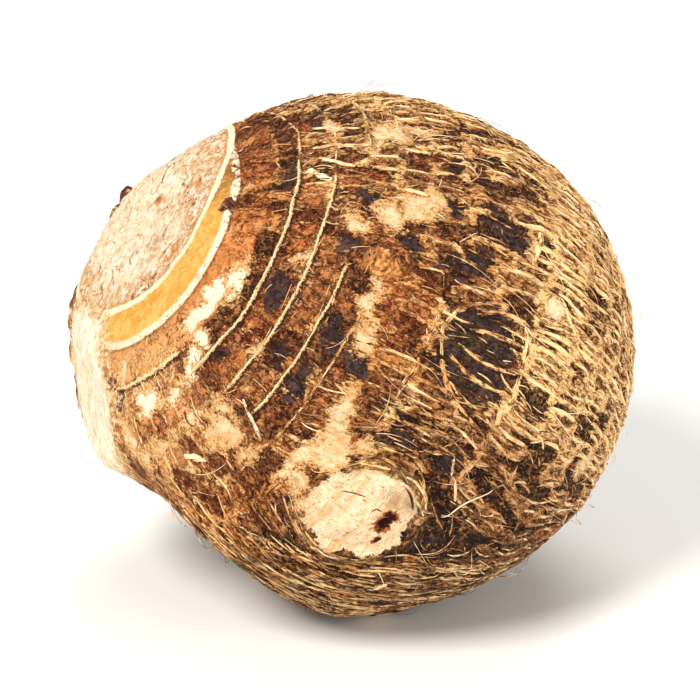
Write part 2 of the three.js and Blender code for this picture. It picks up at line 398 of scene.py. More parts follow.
def parted(along, across, reach):
    """The share by which a round scar pulls the grain in towards its middle line, as water parts round a
    post: the reach squared over the distance squared, fading further out."""
    squared = np.maximum(along ** 2 + across ** 2, 0.25 * reach ** 2)
    return (1.03 * reach) ** 2 / squared * np.exp(-squared / (3.2 * reach) ** 2)


def bent_round_scars(polar, around):
    """The around angle of fibres once they have parted round each scar, found by settling the place where
    the pull towards the middle line gives back the fibre's own line."""
    for at_polar, at_around, reach in ROUND_SCARS:
        along, line = offsets_from(polar, around, at_polar, at_around)
        across = line + np.where(line < 0, -1, 1) * reach * bell(along, 1.4 * reach)
        for _ in range(14):
            across = 0.5 * (across + line + across * parted(along, across, reach))
        around = around + (across - line) / (MM_PER_DEGREE * math.sin(math.radians(at_polar)))
    return around


def straightened(polar, around):
    """The reverse: the fibre's own line through a point on the skin."""
    for at_polar, at_around, reach in ROUND_SCARS:
        along, across = offsets_from(polar, around, at_polar, at_around)
        line = across * np.maximum(1 - parted(along, across, reach), 0.0)
        around = around + (line - across) / (MM_PER_DEGREE * math.sin(math.radians(at_polar)))
    return around


def on_ball(polar, around):
    """The place of two angles on a ball of the corm's girth, in mm, for noise that varies over the skin."""
    return direction_at(polar, around) * GIRTH


def sway(polar, around):
    """How far growth has swayed off the plain angles, in degrees of polar and of around: smooth noise."""
    spot = on_ball(polar, around)
    lean = 0.55 * layered_noise(spot, 9.0, 2, 31) * blend(1.0, 3.4, step(polar, 62, 112))
    lean = lean + 1.2 * span(around, 330, 400, 25) + 0.22 * gradient_noise(spot / 1.7, 36)
    lean = lean * step(polar, 20, 32)
    swing = 1.5 * layered_noise(spot, 15.0, 2, 33) + 0.32 * gradient_noise(spot / 3.4, 35)
    swing = swing / (MM_PER_DEGREE * np.sin(np.radians(np.clip(polar, 8, 172)))) * step(polar, 30, 70)
    return lean, swing


def grain(polar, around):
    """Coordinates in mm that run with the fibres: two across the fibres and one along them."""
    _, swing = sway(polar, around)
    around = np.radians(straightened(polar, around) - swing)
    reach = GIRTH * np.sin(np.radians(np.clip(polar, 8, 172))) ** 0.75
    return np.stack([reach * np.cos(around), reach * np.sin(around), polar * MM_PER_DEGREE], -1)


row_start = np.array([row[0] for row in CELL_ROWS])
row_end = np.append(row_start[1:], 180.0)
row_girth = 2 * math.pi * GIRTH * np.sin(np.radians((row_start + row_end) / 2))
row_cells = np.rint(row_girth / [row[1] for row in CELL_ROWS])


def cell_middle(row, cell):
    """The middle of a bark cell, evenly spread along its row and nudged off it both ways, and its tone."""
    cell = np.mod(cell, row_cells[row])
    nudge = random_vectors(np.stack([row, cell, 0 * row], -1).astype(np.int64), 21)
    around = (cell + 0.5 + 0.37 * row + 0.32 * nudge[..., 0]) / row_cells[row] * 360
    tall = row_end[row] - row_start[row]
    polar = row_start[row] + tall * (0.5 + 0.20 * nudge[..., 1])
    return polar, around, 0.5 + 0.5 * nudge[..., 2]


def merging(polar, around):
    """Neighbouring cells that are both darker than this have no ridge between them: fewer join on the
    right, and more beside the large scar."""
    right = span(around, 288, 384, 10) * step(polar, 84, 94)
    beside = span(around, 244, 284, 6) * step(polar, 92, 97) * (1 - step(polar, 112, 122))
    return 0.45 - 0.27 * right + 0.12 * beside


def bark_cells(polar, around):
    """For each point, half the difference between its distances from the two nearest cell middles, which is
    its distance from the wall between them in mm, and the tone of its own cell. Lengths along the grain
    count for less, so that cells are long with narrow ends."""
    lean, swing = sway(polar, around)
    polar = polar - lean
    around = np.mod(straightened(polar, around) - swing, 360)
    here = np.searchsorted(row_start, polar, side="right") - 1
    nearest, second = np.full(polar.shape, 90.0), np.full(polar.shape, 91.0)
    tone, next_tone = np.zeros(polar.shape), np.zeros(polar.shape)
    for row_step in (-1, 0, 1):
        row = np.clip(here + row_step, 0, len(row_start) - 1)
        beyond = 50.0 * (row != here + row_step)
        at = np.floor(around / 360 * row_cells[row] - 0.37 * row)
        squeeze = 0.34 * np.minimum(1, 9.0 / (row_end[row] - row_start[row]) + 0.2)
        for aside in (-1, 0, 1):
            cell_polar, cell_around, cell_tone = cell_middle(row, at + aside)
            across = turn_between(around, cell_around) * MM_PER_DEGREE * np.sin(np.radians(polar))
            distance = np.hypot(across, (polar - cell_polar) * MM_PER_DEGREE * squeeze) + beyond
            closer = distance < nearest
            next_tone = np.where(closer, tone, np.where(distance < second, cell_tone, next_tone))
            tone = np.where(closer, cell_tone, tone)
            second = np.minimum(second, np.maximum(distance, nearest))
            nearest = np.minimum(nearest, distance)
    joined = merging(polar, around)
    merged = step(np.maximum(tone, next_tone) - joined, 0.02, -0.02)
    return (second - nearest) / 2 + 0.5 * merged, tone


def ridge_reach(polar, around):
    """How far the tan ridges reach to each side of a wall between cells, in mm: hardly at all among the
    clear leaf scars, more where the cells are sooty, and most where the skin is a net of fibre."""
    reach = blend(0.03, 0.20, span(around, 206, 248, 12))
    reach = blend(reach, 0.34, span(around, 318, 385, 14) * step(polar, 36, 42))
    reach = blend(reach, 0.27, step(polar, 56, 70))
    reach = blend(reach, 0.36, step(polar, 74, 84) * (1 - span(around, 255, 306, 8)))
    reach = blend(reach, blend(0.36, 0.32, span(around, 244, 284, 8)), step(polar, 94, 99))
    reach = blend(reach, 0.32, step(polar, 108, 114) * (1 - 0.5 * span(around, 190, 284, 10)))
    left = span(around, 190, 256, 14) * step(polar, 62, 76)
    reach = blend(reach, 0.13, left)
    right = span(around, 316, 372, 14) * step(polar, 66, 84)
    reach = blend(reach, 0.35, right)
    return reach + 0.10 * gradient_noise(on_ball(polar, around) / 5.0, 65)


def leaf_scar_fields(polar, around):
    """For the leaf scars: the signed distance in mm from the nearest one (positive away from the crown),
    how clear it is and its width in mm, and a running count that passes a whole number at each scar."""
    swayed = polar - sway(polar, around)[0]
    angles = np.array([scar[0] for scar in LEAF_SCARS])
    stops = np.concatenate([[0], angles, [180]])
    count = np.interp(swayed, stops, np.arange(len(stops)))
    nearest = np.clip(np.rint(count).astype(int), 1, len(angles))
    offset = (swayed - angles[nearest - 1]) * MM_PER_DEGREE
    clear, width = np.zeros_like(polar), np.zeros_like(polar)
    for number, (_, scar_width, spans) in enumerate(LEAF_SCARS, start=1):
        here = nearest == number
        strength = np.zeros_like(polar)
        for start, end, value in spans:
            strength = np.maximum(strength, value * span(around, start, end))
        clear = np.where(here, strength, clear)
        width = np.where(here, scar_width, width)
    return offset, clear, width, count


def fibre_cover(polar, around):
    """The share of the skin that is covered in raised fibre, 0 to 1: little near the crown, full beyond."""
    cover = blend(0.12, 1.0, step(polar, 58, 100))
    cover = np.maximum(cover, 0.85 * span(around, 200, 243, 10) * step(polar, 50, 66))
    cover = np.maximum(cover, 0.45 * span(around, 206, 248, 10) * step(polar, 33, 38))
    cover = np.maximum(cover, 0.95 * span(around, 316, 380, 12) * step(polar, 36, 44))
    rust = depth_in_patches(polar, around, RUST_PATCHES[:2])
    cover = cover * (1 - 0.85 * step(rust, 0, 1.2))
    black = depth_in_patches(polar, around, BLACK_PATCHES)
    return cover * (1 - 0.8 * step(black, -0.2, 1.0))


def is_open(polar, around):
    """1 where bark or fibre can lie, and 0 on the cut faces, the bare patches and the scars."""
    clear = step(-inside_stalk_cut(polar, around), 0.2, 1.4)
    clear = clear * step(-inside_side_cut(polar, around), -0.2, 1.0)
    clear = clear * (1 - 0.6 * step(depth_in_patches(polar, around, BARE_PATCHES), -0.25, 0.6))
    for scar in ROUND_SCARS:
        clear = clear * step(distance_from(polar, around, scar), 0.78 * scar[2], 0.98 * scar[2])
    return clear


def skin_fields(polar, around):
    """Every smooth field that the relief and the colours share, worked out once for an array of points."""
    plain = place(polar, around, body_distance(polar, around))
    field = {"points": plain, "grain": grain(polar, around)}
    ragged = 0.55 * layered_noise(plain, 1.9, 2, 11)
    strayed = polar + 2.6 * layered_noise(plain, 3.4, 2, 12)
    aside = around + 2.6 * layered_noise(plain, 3.4, 2, 14) / np.sin(np.radians(np.clip(polar, 10, 170)))
    field["bare"] = depth_in_patches(strayed, aside, BARE_PATCHES) + ragged * 0.75
    field["black"] = depth_in_patches(strayed, aside, BLACK_PATCHES) + ragged
    field["rust"] = depth_in_patches(strayed, aside, RUST_PATCHES) + 1.6 * ragged
    field["stalk_cut"] = inside_stalk_cut(polar, around) + 0.5 * layered_noise(plain, 7.0, 2, 13)
    field["side_cut"] = inside_side_cut(polar, around) + 0.9 * layered_noise(plain, 5.0, 2, 17)
    offset, clear, width, count = leaf_scar_fields(polar, around)
    field.update(scar_offset=offset, scar_clear=clear, scar_width=width, scar_count=count)
    field["scar_distance"] = np.abs(offset)
    field["walls"], field["cell_tone"] = bark_cells(polar, around)
    field["ridge_reach"] = ridge_reach(polar, around)
    return field


def skin_relief(polar, around, field):
    """The height of the skin over the plain body, in mm: the sum of lumps, leaf scar ledges, fibre ridges,
    bark cells, sunken patches, round scars with raised rims, a hole, rough knife cuts and a dimple."""
    points, coords = field["points"], field["grain"]
    bark = 1 - np.maximum(step(field["stalk_cut"], -0.3, 0.5), step(field["side_cut"], -0.3, 0.5))
    height = 0.55 * layered_noise(points, 15.0, 2, 1) + bark * 0.20 * layered_noise(points, 4.5, 2, 5)

    # Leaf scars: a lip that rises slowly on the crown's side and drops off sharply on the other
    offset, clear = field["scar_offset"], field["scar_clear"]
    lip = np.where(offset < 0, bell(offset, 1.1), bell(offset, 0.42))
    height += bark * (0.08 + 0.34 * clear) * lip * step(polar, 20, 26)
    height -= bark * 0.30 * bell(offset - 0.95, 0.6) * clear

    # Ridges stand on the walls between cells of bark, and finer ones run along the grain
    reach = np.maximum(field["ridge_reach"], 0.05)
    ridge = 1 - step(field["walls"], 0.3 * reach, 1.25 * reach + 0.12)
    height += bark * (0.14 + 0.42 * step(reach, 0.1, 0.45)) * (ridge - 0.5)
    lines = 1 - 2.2 * np.abs(gradient_noise(coords * np.array([1 / 1.3, 1 / 1.3, 1 / 7.0]), 7))
    height += bark * 0.15 * lines * step(polar, 30, 60)

    # Bare patches are peeled a little deeper, black ones are slightly sunken
    height -= bark * 0.30 * step(field["bare"], -0.15, 0.25)
    height -= bark * 0.18 * step(field["black"], -0.2, 0.8)

    # Round scars: a raised rim, and a low dome inside it
    for scar in ROUND_SCARS:
        share = distance_from(polar, around, scar) / scar[2]
        height += 0.085 * scar[2] ** 0.9 * bell(share - 1.02, 0.13)
        height += (0.07 * scar[2] + 0.25) * mound(share / 0.95) - 0.25 * bell(share - 0.84, 0.1)
    for at_polar, at_around, reach in ROOT_SCARS:
        share = distance_from(polar, around, (at_polar, at_around)) / reach
        height += 0.30 * bell(share - 1.0, 0.28) - 0.45 * bell(share, 0.62)

    # The hole that the side corm's vein left
    at_polar, at_around, half_long, half_wide, depth = VEIN_HOLE
    along, across = offsets_from(polar, around, at_polar, at_around)
    height -= depth * bell(np.hypot(along / half_long, across / half_wide), 1.0)

    # Knife cuts: rough, with a slightly raised edge
    streaks = gradient_noise(points / np.array([9.0, 1.3, 9.0]), 43)
    height += (1 - bark) * (0.16 * layered_noise(points, 2.4, 3, 41) + 0.10 * streaks)
    height += 0.28 * bell(field["stalk_cut"] - 0.1, 0.55) * step(polar, 8, 14)

    # The old root end closes in a dimple
    height -= ROOT_DIMPLE_DEPTH * mound((180 - polar) * MM_PER_DEGREE / ROOT_DIMPLE_REACH)
    return height


def skin_point(polar, around, lift=0.0):
    """A point on the finished skin, lifted off it by some mm."""
    field = skin_fields(polar, around)
    distance = body_distance(polar, around) + skin_relief(polar, around, field) + lift
    return place(polar, around, distance)


# ---------------------------------------------------------------------------------------------- mesh making
COLOUR_LABELS = ("ground", "ridge_colour", "shade")


def make_piece(name, points, face_groups, material, attributes):
    """A mesh from points in mm, an array of faces for each count of corners, and values at each point."""
    mesh = bpy.data.meshes.new(name)
    mesh.vertices.add(len(points))
    mesh.vertices.foreach_set("co", (points * MM).astype(np.float32).ravel())
    corners = np.concatenate([faces.ravel() for faces in face_groups])
    sizes = np.concatenate([np.full(len(faces), faces.shape[1]) for faces in face_groups])
    mesh.loops.add(len(corners))
    mesh.loops.foreach_set("vertex_index", corners.astype(np.int32))
    mesh.polygons.add(len(sizes))
    mesh.polygons.foreach_set("loop_start", (np.cumsum(sizes) - sizes).astype(np.int32))
    mesh.polygons.foreach_set("use_smooth", np.ones(len(sizes), dtype=bool))
    mesh.update(calc_edges=True)
    for label, values in attributes.items():
        if label in COLOUR_LABELS:
            layer = mesh.attributes.new(label, "FLOAT_COLOR", "POINT")
            values = np.concatenate([values, np.ones((len(values), 1))], axis=1)
            layer.data.foreach_set("color", values.astype(np.float32).ravel())
        elif values.ndim == 2:
            layer = mesh.attributes.new(label, "FLOAT_VECTOR", "POINT")
            layer.data.foreach_set("vector", values.astype(np.float32).ravel())
        else:
            mesh.attributes.new(label, "FLOAT", "POINT").data.foreach_set("value", values.astype(np.float32))
    mesh.materials.append(material)
    piece = bpy.data.objects.new(name, mesh)
    bpy.context.scene.collection.objects.link(piece)
    return piece


# Profiles of strips: each corner is a share of the half width and of the height
ROUND_BACK = [(-1.0, -0.12), (-0.72, 0.72), (0.0, 1.0), (0.72, 0.72), (1.0, -0.12)]
PLAIN_BACK = [(-1.0, -0.12), (0.0, 1.0), (1.0, -0.12)]
FLAT_BACK = [(-1.0, -0.12), (-0.8, 0.9), (0.3, 1.0), (0.9, 0.6), (1.0, -0.12)]


def carry_profile(centres, side, up, width, height, corners):
    """A profile carried along many paths at once: each of its corners goes out along the side and up from
    every point of a path. Centres, side and up are arrays of paths by points by three. Returns the points,
    and the four-cornered and end faces of closed strips."""
    paths, count = centres.shape[:2]
    edge = len(corners)
    rings = [
        centres + side * (width / 2 * out)[..., None] + up * (height * rise)[..., None]
        for out, rise in corners
    ]
    points = np.stack(rings, axis=2).reshape(-1, 3)
    first = (np.arange(paths)[:, None] * count + np.arange(count - 1)).ravel() * edge
    quads = []
    for a in range(edge):
        b = (a + 1) % edge
        quads.append(np.stack([first + a, first + b, first + edge + b, first + edge + a], 1))
    starts = np.arange(paths) * count * edge
    ends = starts + (count - 1) * edge
    around_end = np.arange(edge)
    caps = np.concatenate([starts[:, None] + around_end[::-1], ends[:, None] + around_end])
    return points, np.concatenate(quads), caps


def lay_on_skin(
    name, polar, around, width, height, lift, tone, material, corners=PLAIN_BACK, shade=None, taut=0
):
    """Fibres laid along paths on the skin. Each path's side is the cross product of the skin's outward
    direction and the way the path runs. Width, height and lift are mm at each point of each path. Taut ones
    are evened out that many times."""
    centres = evened_out(skin_point(polar, around, lift), taut)
    outward = direction_at(polar, around)
    way = np.gradient(centres, axis=1)
    side = np.cross(outward, way)
    side /= np.maximum(np.linalg.norm(side, axis=-1, keepdims=True), 1e-9)
    points, quads, caps = carry_profile(centres, side, outward, width, height + 0.0 * width, corners)
    points[:, 2] = np.maximum(points[:, 2], 0.0)

    edge = len(corners)
    out = np.array([corner[0] for corner in corners])
    along = np.cumsum(np.linalg.norm(way, axis=-1), axis=1)
    number = np.broadcast_to(np.arange(len(polar))[:, None], polar.shape)
    coords = np.stack([
        (width[..., None] / 2 * out),
        np.repeat(number[..., None] * 3.7, edge, axis=-1),
        np.repeat(along[..., None], edge, axis=-1),
    ], axis=-1).reshape(-1, 3)
    shade = ridge_colour(polar, around) if shade is None else np.ones(polar.shape + (1,)) * shade
    values = {
        "tone": np.repeat(tone.reshape(-1), edge),
        "grain": coords,
        "shade": np.repeat(shade.reshape(-1, 3), edge, axis=0),
    }
    return make_piece(name, points, [quads, caps], material, values)


# ------------------------------------------------------------------------------------------------ materials
def paint(red, green, blue):
    """A colour read as screen values from 0 to 255, given as linear numbers."""
    screen = np.array([red, green, blue]) / 255
    return np.where(screen <= 0.04045, screen / 12.92, ((screen + 0.055) / 1.055) ** 2.4)


FLESH = paint(230, 205, 162)
STAINED_FLESH = paint(200, 144, 86)
GOLD = paint(220, 156, 64)
ORANGE = paint(206, 126, 66)
RUST = paint(172, 94, 50)
BROWN = paint(140, 78, 44)
DARK_BROWN = paint(62, 34, 22)
SOOT = paint(38, 30, 33)
TAN = paint(214, 150, 84)
STRAW = paint(248, 200, 134)
STAIN_BROWN = paint(106, 56, 28)


def coat(colour, over, share):
    """One colour laid over others by a share at each point."""
    return blend(colour, over, share[..., None])


def coated(colour, coats):
    """Colours laid over one another in turn, each by its own share at each point."""
    for over, share in coats:
        colour = coat(colour, over, share)
    return colour


def soil_and_painted_shade(polar, around):
    """How much the skin is darkened towards the floor: painted shade, with some soil, none above, more lower
    down, in blotches.
    """
    height = place(polar, around, body_distance(polar, around))[..., 2]
    blotch = layered_noise(on_ball(polar, around), 7.0, 2, 59)
    return 0.75 * step(-height - 6.0 * blotch, -28.0, -8.0)


def scar_collar(polar, around):
    """The pale collar round the large side shoot's scar: a bell over the distance from its rim."""
    share = distance_from(polar, around, CORMEL_SCAR) / CORMEL_SCAR[2]
    share = share + 0.10 * layered_noise(on_ball(polar, around), 3.0, 2, 58)
    return 0.85 * bell(share - 1.08, 0.13)


def ridge_colour(polar, around):
    """The colour of ridges and fibres: tan near the crown, straw on the right, orange and brown on the
    left, with bright, dull and faded blotches, and darker towards the floor: painted shade, with some soil."""
    spot = on_ball(polar, around)
    right = span(around, 270, 384, 18) * step(polar, 78, 100)
    bright = step(layered_noise(spot, 4.5, 2, 54), 0.0, 0.4)
    dull = step(layered_noise(spot, 5.5, 2, 55), 0.10, 0.5) * (1 - 0.7 * right)
    faded = 0.4 * step(layered_noise(spot, 11.0, 2, 53), 0.05, 0.6) * (1 - 0.8 * right)
    behind = span(around, 20, 190, 20) * step(polar, 40, 60)
    beside_scar = span(around, 240, 282, 8) * step(polar, 84, 96)
    colour = coated(TAN, [
        (paint(224, 154, 88), 1 - step(polar, 34, 46)),
        (STRAW, right),
        (paint(230, 180, 116), span(around, 318, 384, 14) * step(polar, 36, 44) * 0.7),
        (paint(238, 186, 122), span(around, 190, 247, 12) * (1 - step(polar, 52, 66)) * 0.8),
        (paint(222, 154, 88), span(around, 190, 243, 12) * step(polar, 56, 70)),
        (paint(176, 116, 64), step(polar, 98, 124) * span(around, 190, 262, 16) * 0.85),
        (paint(190, 138, 88), behind * 0.7),
        (paint(255, 214, 148), 0.7 * bright),
        (paint(124, 76, 42), 0.65 * dull),
        (paint(190, 130, 74), 0.7 * beside_scar),
        (paint(140, 88, 50), faded),
        (paint(232, 184, 118), scar_collar(polar, around)),
    ])
    low_left = span(around, 186, 272, 14) * step(polar, 64, 82)
    colour = coat(colour, 0.46 * colour, low_left * step(layered_noise(spot, 2.6, 2, 60), -0.1, 0.25))
    # Darker towards the floor: painted shade, with some soil
    return coat(colour, 0.34 * colour, 0.9 * soil_and_painted_shade(polar, around))


class Shader:
    """A material's node tree, with a short call for each kind of node that the corm's finishes use. Its mm
    are the object's own coordinates in mm."""

    def __init__(self, name, roughness, specular):
        self.material = bpy.data.materials.new(name)
        self.material.use_nodes = True
        self.tree = self.material.node_tree
        self.surface = self.tree.nodes["Principled BSDF"]
        self.surface.inputs["Roughness"].default_value = roughness
        self.surface.inputs["Specular IOR Level"].default_value = specular
        self.mm = self.scaled(self.node("ShaderNodeTexCoord").outputs["Object"], 1000, 1000, 1000)

    def node(self, kind, **settings):
        """A new node of a kind, with its settings."""
        made = self.tree.nodes.new(kind)
        for label, value in settings.items():
            setattr(made, label, value)
        return made

    def feed(self, socket, value):
        """Links a socket to another's output, or sets it to a plain value."""
        if isinstance(value, bpy.types.NodeSocket):
            self.tree.links.new(value, socket)
        elif isinstance(value, np.ndarray):
            socket.default_value = (*value, 1.0)
        else:
            socket.default_value = value

    def attribute(self, label, output="Fac"):
        """The values that the mesh holds at its points under a label."""
        return self.node("ShaderNodeAttribute", attribute_name=label).outputs[output]

    def scaled(self, coords, x, y, z):
        """Coordinates multiplied by a number on each axis."""
        made = self.node("ShaderNodeVectorMath", operation="MULTIPLY")
        self.feed(made.inputs[0], coords)
        made.inputs[1].default_value = (x, y, z)
        return made.outputs[0]

    def noise(self, coords, detail=3.0, roughness=0.55, warp=0.0):
        """Smooth noise from 0 to 1 over the coordinates, with finer layers by its detail and roughness."""
        made = self.node("ShaderNodeTexNoise")
        self.feed(made.inputs["Vector"], coords)
        made.inputs["Scale"].default_value = 1.0
        made.inputs["Detail"].default_value = detail
        made.inputs["Roughness"].default_value = roughness
        made.inputs["Distortion"].default_value = warp
        return made.outputs["Fac"]

    def lumps(self, per_mm, detail=3.0, roughness=0.55, warp=0.0):
        """Noise over the object's own place, with this many lumps a mm every way."""
        return self.noise(self.scaled(self.mm, per_mm, per_mm, per_mm), detail, roughness, warp)

    def streaks(self, across, along, detail=3.0, roughness=0.55, warp=0.0):
        """Noise that runs with the fibres, with lumps this many mm across them and this many along them."""
        coords = self.scaled(self.attribute("grain", "Vector"), 1 / across, 1 / across, 1 / along)
        return self.noise(coords, detail, roughness, warp)

    def math(self, operation, first, second=0.0):
        """One operation on one or two numbers."""
        made = self.node("ShaderNodeMath", operation=operation)
        self.feed(made.inputs[0], first)
        self.feed(made.inputs[1], second)
        return made.outputs[0]

    def rise(self, value, low, high, start=0.0, end=1.0):
        """Start below low, end above high, and a smooth S between."""
        made = self.node("ShaderNodeMapRange", interpolation_type="SMOOTHSTEP")
        self.feed(made.inputs["Value"], value)
        for label, number in (("From Min", low), ("From Max", high), ("To Min", start), ("To Max", end)):
            made.inputs[label].default_value = number
        return made.outputs["Result"]

    def mix(self, share, first, second, mode="MIX"):
        """The first colour where the share is 0, the second where it is 1."""
        made = self.node("ShaderNodeMix", data_type="RGBA", blend_type=mode)
        self.feed(made.inputs[0], share)
        self.feed(made.inputs[6], first)
        self.feed(made.inputs[7], second)
        return made.outputs[2]

    def times(self, *values):
        """The product of several numbers."""
        product = values[0]
        for value in values[1:]:
            product = self.math("MULTIPLY", product, value)
        return product

    def coats(self, under, coats):
        """Colours laid over one another in turn. Each coat is a field, where its rise begins and ends, the
        share that it rises to, its colour, and any numbers that its share is multiplied by."""
        for field, low, high, most, colour, *masks in coats:
            under = self.mix(self.times(self.rise(field, low, high, 0.0, most), *masks), under, colour)
        return under

    def tinted(self, colour, red, green, blue):
        """A colour multiplied by another, which darkens it."""
        return self.mix(1.0, colour, paint(red, green, blue), "MULTIPLY")

    def ragged(self, value, *swings):
        """A value made uneven. Each swing is a noise, the low value at which it takes off the most (and as
        far from 1 it adds the most), and how much that is."""
        for noise, low, swing in swings:
            value = self.math("ADD", value, self.rise(noise, low, 1 - low, -swing, swing))
        return value

    def off_by(self, value, middle):
        """How far a value is from a number, on either side."""
        return self.math("ABSOLUTE", self.math("SUBTRACT", value, middle))

    def bump(self, height, distance, strength=1.0, under=None):
        """The surface's normal, tilted by a height that stands for a distance in mm, over another bump."""
        made = self.node("ShaderNodeBump")
        self.feed(made.inputs["Height"], height)
        made.inputs["Distance"].default_value = distance * MM
        made.inputs["Strength"].default_value = strength
        if under is not None:
            self.feed(made.inputs["Normal"], under)
        return made.outputs["Normal"]

    def finish(self, colour, normal, roughness=None):
        """Feeds the surface and gives the finished material."""
        self.feed(self.surface.inputs["Base Color"], colour)
        self.feed(self.surface.inputs["Normal"], normal)
        if roughness is not None:
            self.feed(self.surface.inputs["Roughness"], roughness)
        return self.material


class BarkShader(Shader):
    """The skin's node tree, with the colours, noises and edges that its layers share."""

    def __init__(self):
        super().__init__("papery_corm_bark", roughness=0.80, specular=0.12)
        self.ground = self.attribute("ground", "Color")
        self.ridge_paint = self.attribute("ridge_colour", "Color")
        self.speckle = self.lumps(2.6, 3, 0.65)
        self.grit = self.lumps(5.5, 2, 0.6)
        self.crumbs = self.lumps(0.9, 5, 0.7)
        self.wander = self.lumps(1.1, 2, 0.5)
        self.blotches = self.lumps(0.33, 6, 0.68, 1.2)
        self.broad = self.streaks(1.0, 4.5, 4, 0.62, 0.5)
        self.fine = self.streaks(0.30, 2.2, 3, 0.6, 0.3)
        self.flakes = self.streaks(2.6, 3.4, 6, 0.72, 1.0)
        self.plain = self.attribute("plain_bark")
        self.spared = self.rise(self.plain, 0.0, 1.0, 1.0, 0.35)
        self.soot = self.ragged(self.attribute("black"), (self.wander, 0.25, 0.8), (self.crumbs, 0.2, 0.3))
        away = self.ragged(self.attribute("walls"), (self.wander, 0.25, 0.20), (self.crumbs, 0.2, 0.10))
        away = self.ragged(away, (self.fine, 0.2, 0.22))
        self.away = self.math("SUBTRACT", away, self.attribute("ridge_reach"))
        self.cut = self.ragged(self.attribute("stalk_cut"), (self.speckle, 0.2, 0.12))


def cell_paint(s):
    """Cells: each has its own tone, broken up by flakes, streaks and specks."""
    tone = s.ragged(s.attribute("cell_tone"), (s.flakes, 0.25, 0.55), (s.fine, 0.25, 0.35))
    lit = s.rise(tone, 0.30, 0.80, 0.2, 0.7)
    colour = s.coats(s.ground, [
        (tone, 0.60, 0.20, 1.0, s.tinted(s.ground, 126, 97, 88)),
        (tone, 0.80, 1.25, 0.8, s.ridge_paint),
        (s.wander, 0.50, 0.66, 1.0, s.mix(0.5, s.ridge_paint, paint(206, 122, 62)), lit),
    ])
    return s.coats(colour, [
        (s.wander, 0.50, 0.38, 0.8, s.tinted(colour, 134, 102, 90), s.spared),
        (s.speckle, 0.44, 0.34, 0.75, paint(38, 20, 14), s.spared),
        (s.speckle, 0.55, 0.65, 1.0, s.mix(0.5, s.ridge_paint, paint(222, 144, 80)), lit),
    ])


def soot_paint(s):
    """Soot: near black, with browner and greyer grains."""
    return s.coats(SOOT, [
        (s.wander, 0.46, 0.64, 0.7, paint(76, 54, 52)),
        (s.fine, 0.56, 0.68, 0.5, paint(112, 74, 56)),
        (s.speckle, 0.60, 0.70, 0.3, paint(130, 84, 60)),
        (s.flakes, 0.45, 0.36, 0.7, paint(26, 20, 24)),
    ])


def ridge_layer(s, colour):
    """Ridges between the cells: a painted shadow line at their feet, streaks along the grain and dark pits."""
    streaked = s.coats(s.ridge_paint, [
        (s.fine, 0.54, 0.38, 1.0, s.tinted(s.ridge_paint, 158, 126, 104)),
        (s.fine, 0.54, 0.66, 0.75, FLESH),
        (s.broad, 0.44, 0.34, 0.85, BROWN),
        (s.speckle, 0.42, 0.31, 0.8, DARK_BROWN),
    ])
    return s.coats(colour, [
        # Painted shadow: a dark line along the foot of each ridge
        (s.away, 0.34, 0.06, 1.0, s.tinted(colour, 104, 76, 66), 0.8, s.spared),
        (s.away, 0.06, -0.06, 1.0, streaked, s.rise(s.soot, 0.0, 1.0, 1.0, 0.10)),
    ])


def grit_layer(s, colour, threads):
    """Fine pale threads, and fine light and dark grains over all of the bark."""
    return s.coats(colour, [
        (threads, 0.014, 0.004, 1.0, TAN, s.rise(s.crumbs, 0.50, 0.60), s.rise(s.soot, -0.2, 0.5, 0.8, 0.35)),
        (s.grit, 0.46, 0.32, 0.35, paint(30, 18, 14), s.spared),
        (s.grit, 0.60, 0.72, 0.15, s.ridge_paint),
    ])


def leaf_scar_layer(s, colour):
    """Leaf scars: a painted shadow line under a pale lip."""
    offset, clear, width = s.attribute("scar_offset"), s.attribute("scar_clear"), s.attribute("scar_width")
    half_width = s.math("MULTIPLY", width, 0.5)
    close = s.rise(s.attribute("scar_distance"), 1.6, 1.2)
    unevenness = s.times(s.rise(s.speckle, 0.2, 0.8, -0.20, 0.20), s.rise(width, 0.7, 1.0, 1.0, 0.4))
    apart = s.math("ADD", s.math("ABSOLUTE", offset), unevenness)
    past = s.math("SUBTRACT", apart, half_width)
    shadow = s.times(
        close, s.rise(offset, 0.0, 0.1), s.rise(past, -0.15, 0.05), s.rise(past, 0.50, 0.22),
        s.rise(clear, 0.25, 0.8, 0.0, 0.9), s.rise(width, 0.7, 1.0, 1.0, 0.5),
    )
    colour = s.mix(shadow, colour, paint(60, 30, 16))
    frayed = s.rise(s.math("ADD", clear, s.rise(s.crumbs, 0.3, 0.7, -0.75, 0.35)), 0.25, 0.5)
    lip = s.coats(TAN, [
        (clear, 0.45, 0.85, 1.0, paint(250, 220, 168)),
        (width, 0.8, 1.0, 1.0, paint(244, 230, 200)),
        (s.speckle, 0.50, 0.36, 0.5, STAINED_FLESH),
    ])
    share = s.rise(s.math("DIVIDE", apart, half_width), 1.2, 0.8)
    return s.mix(s.times(close, share, frayed, 0.92), colour, lip)


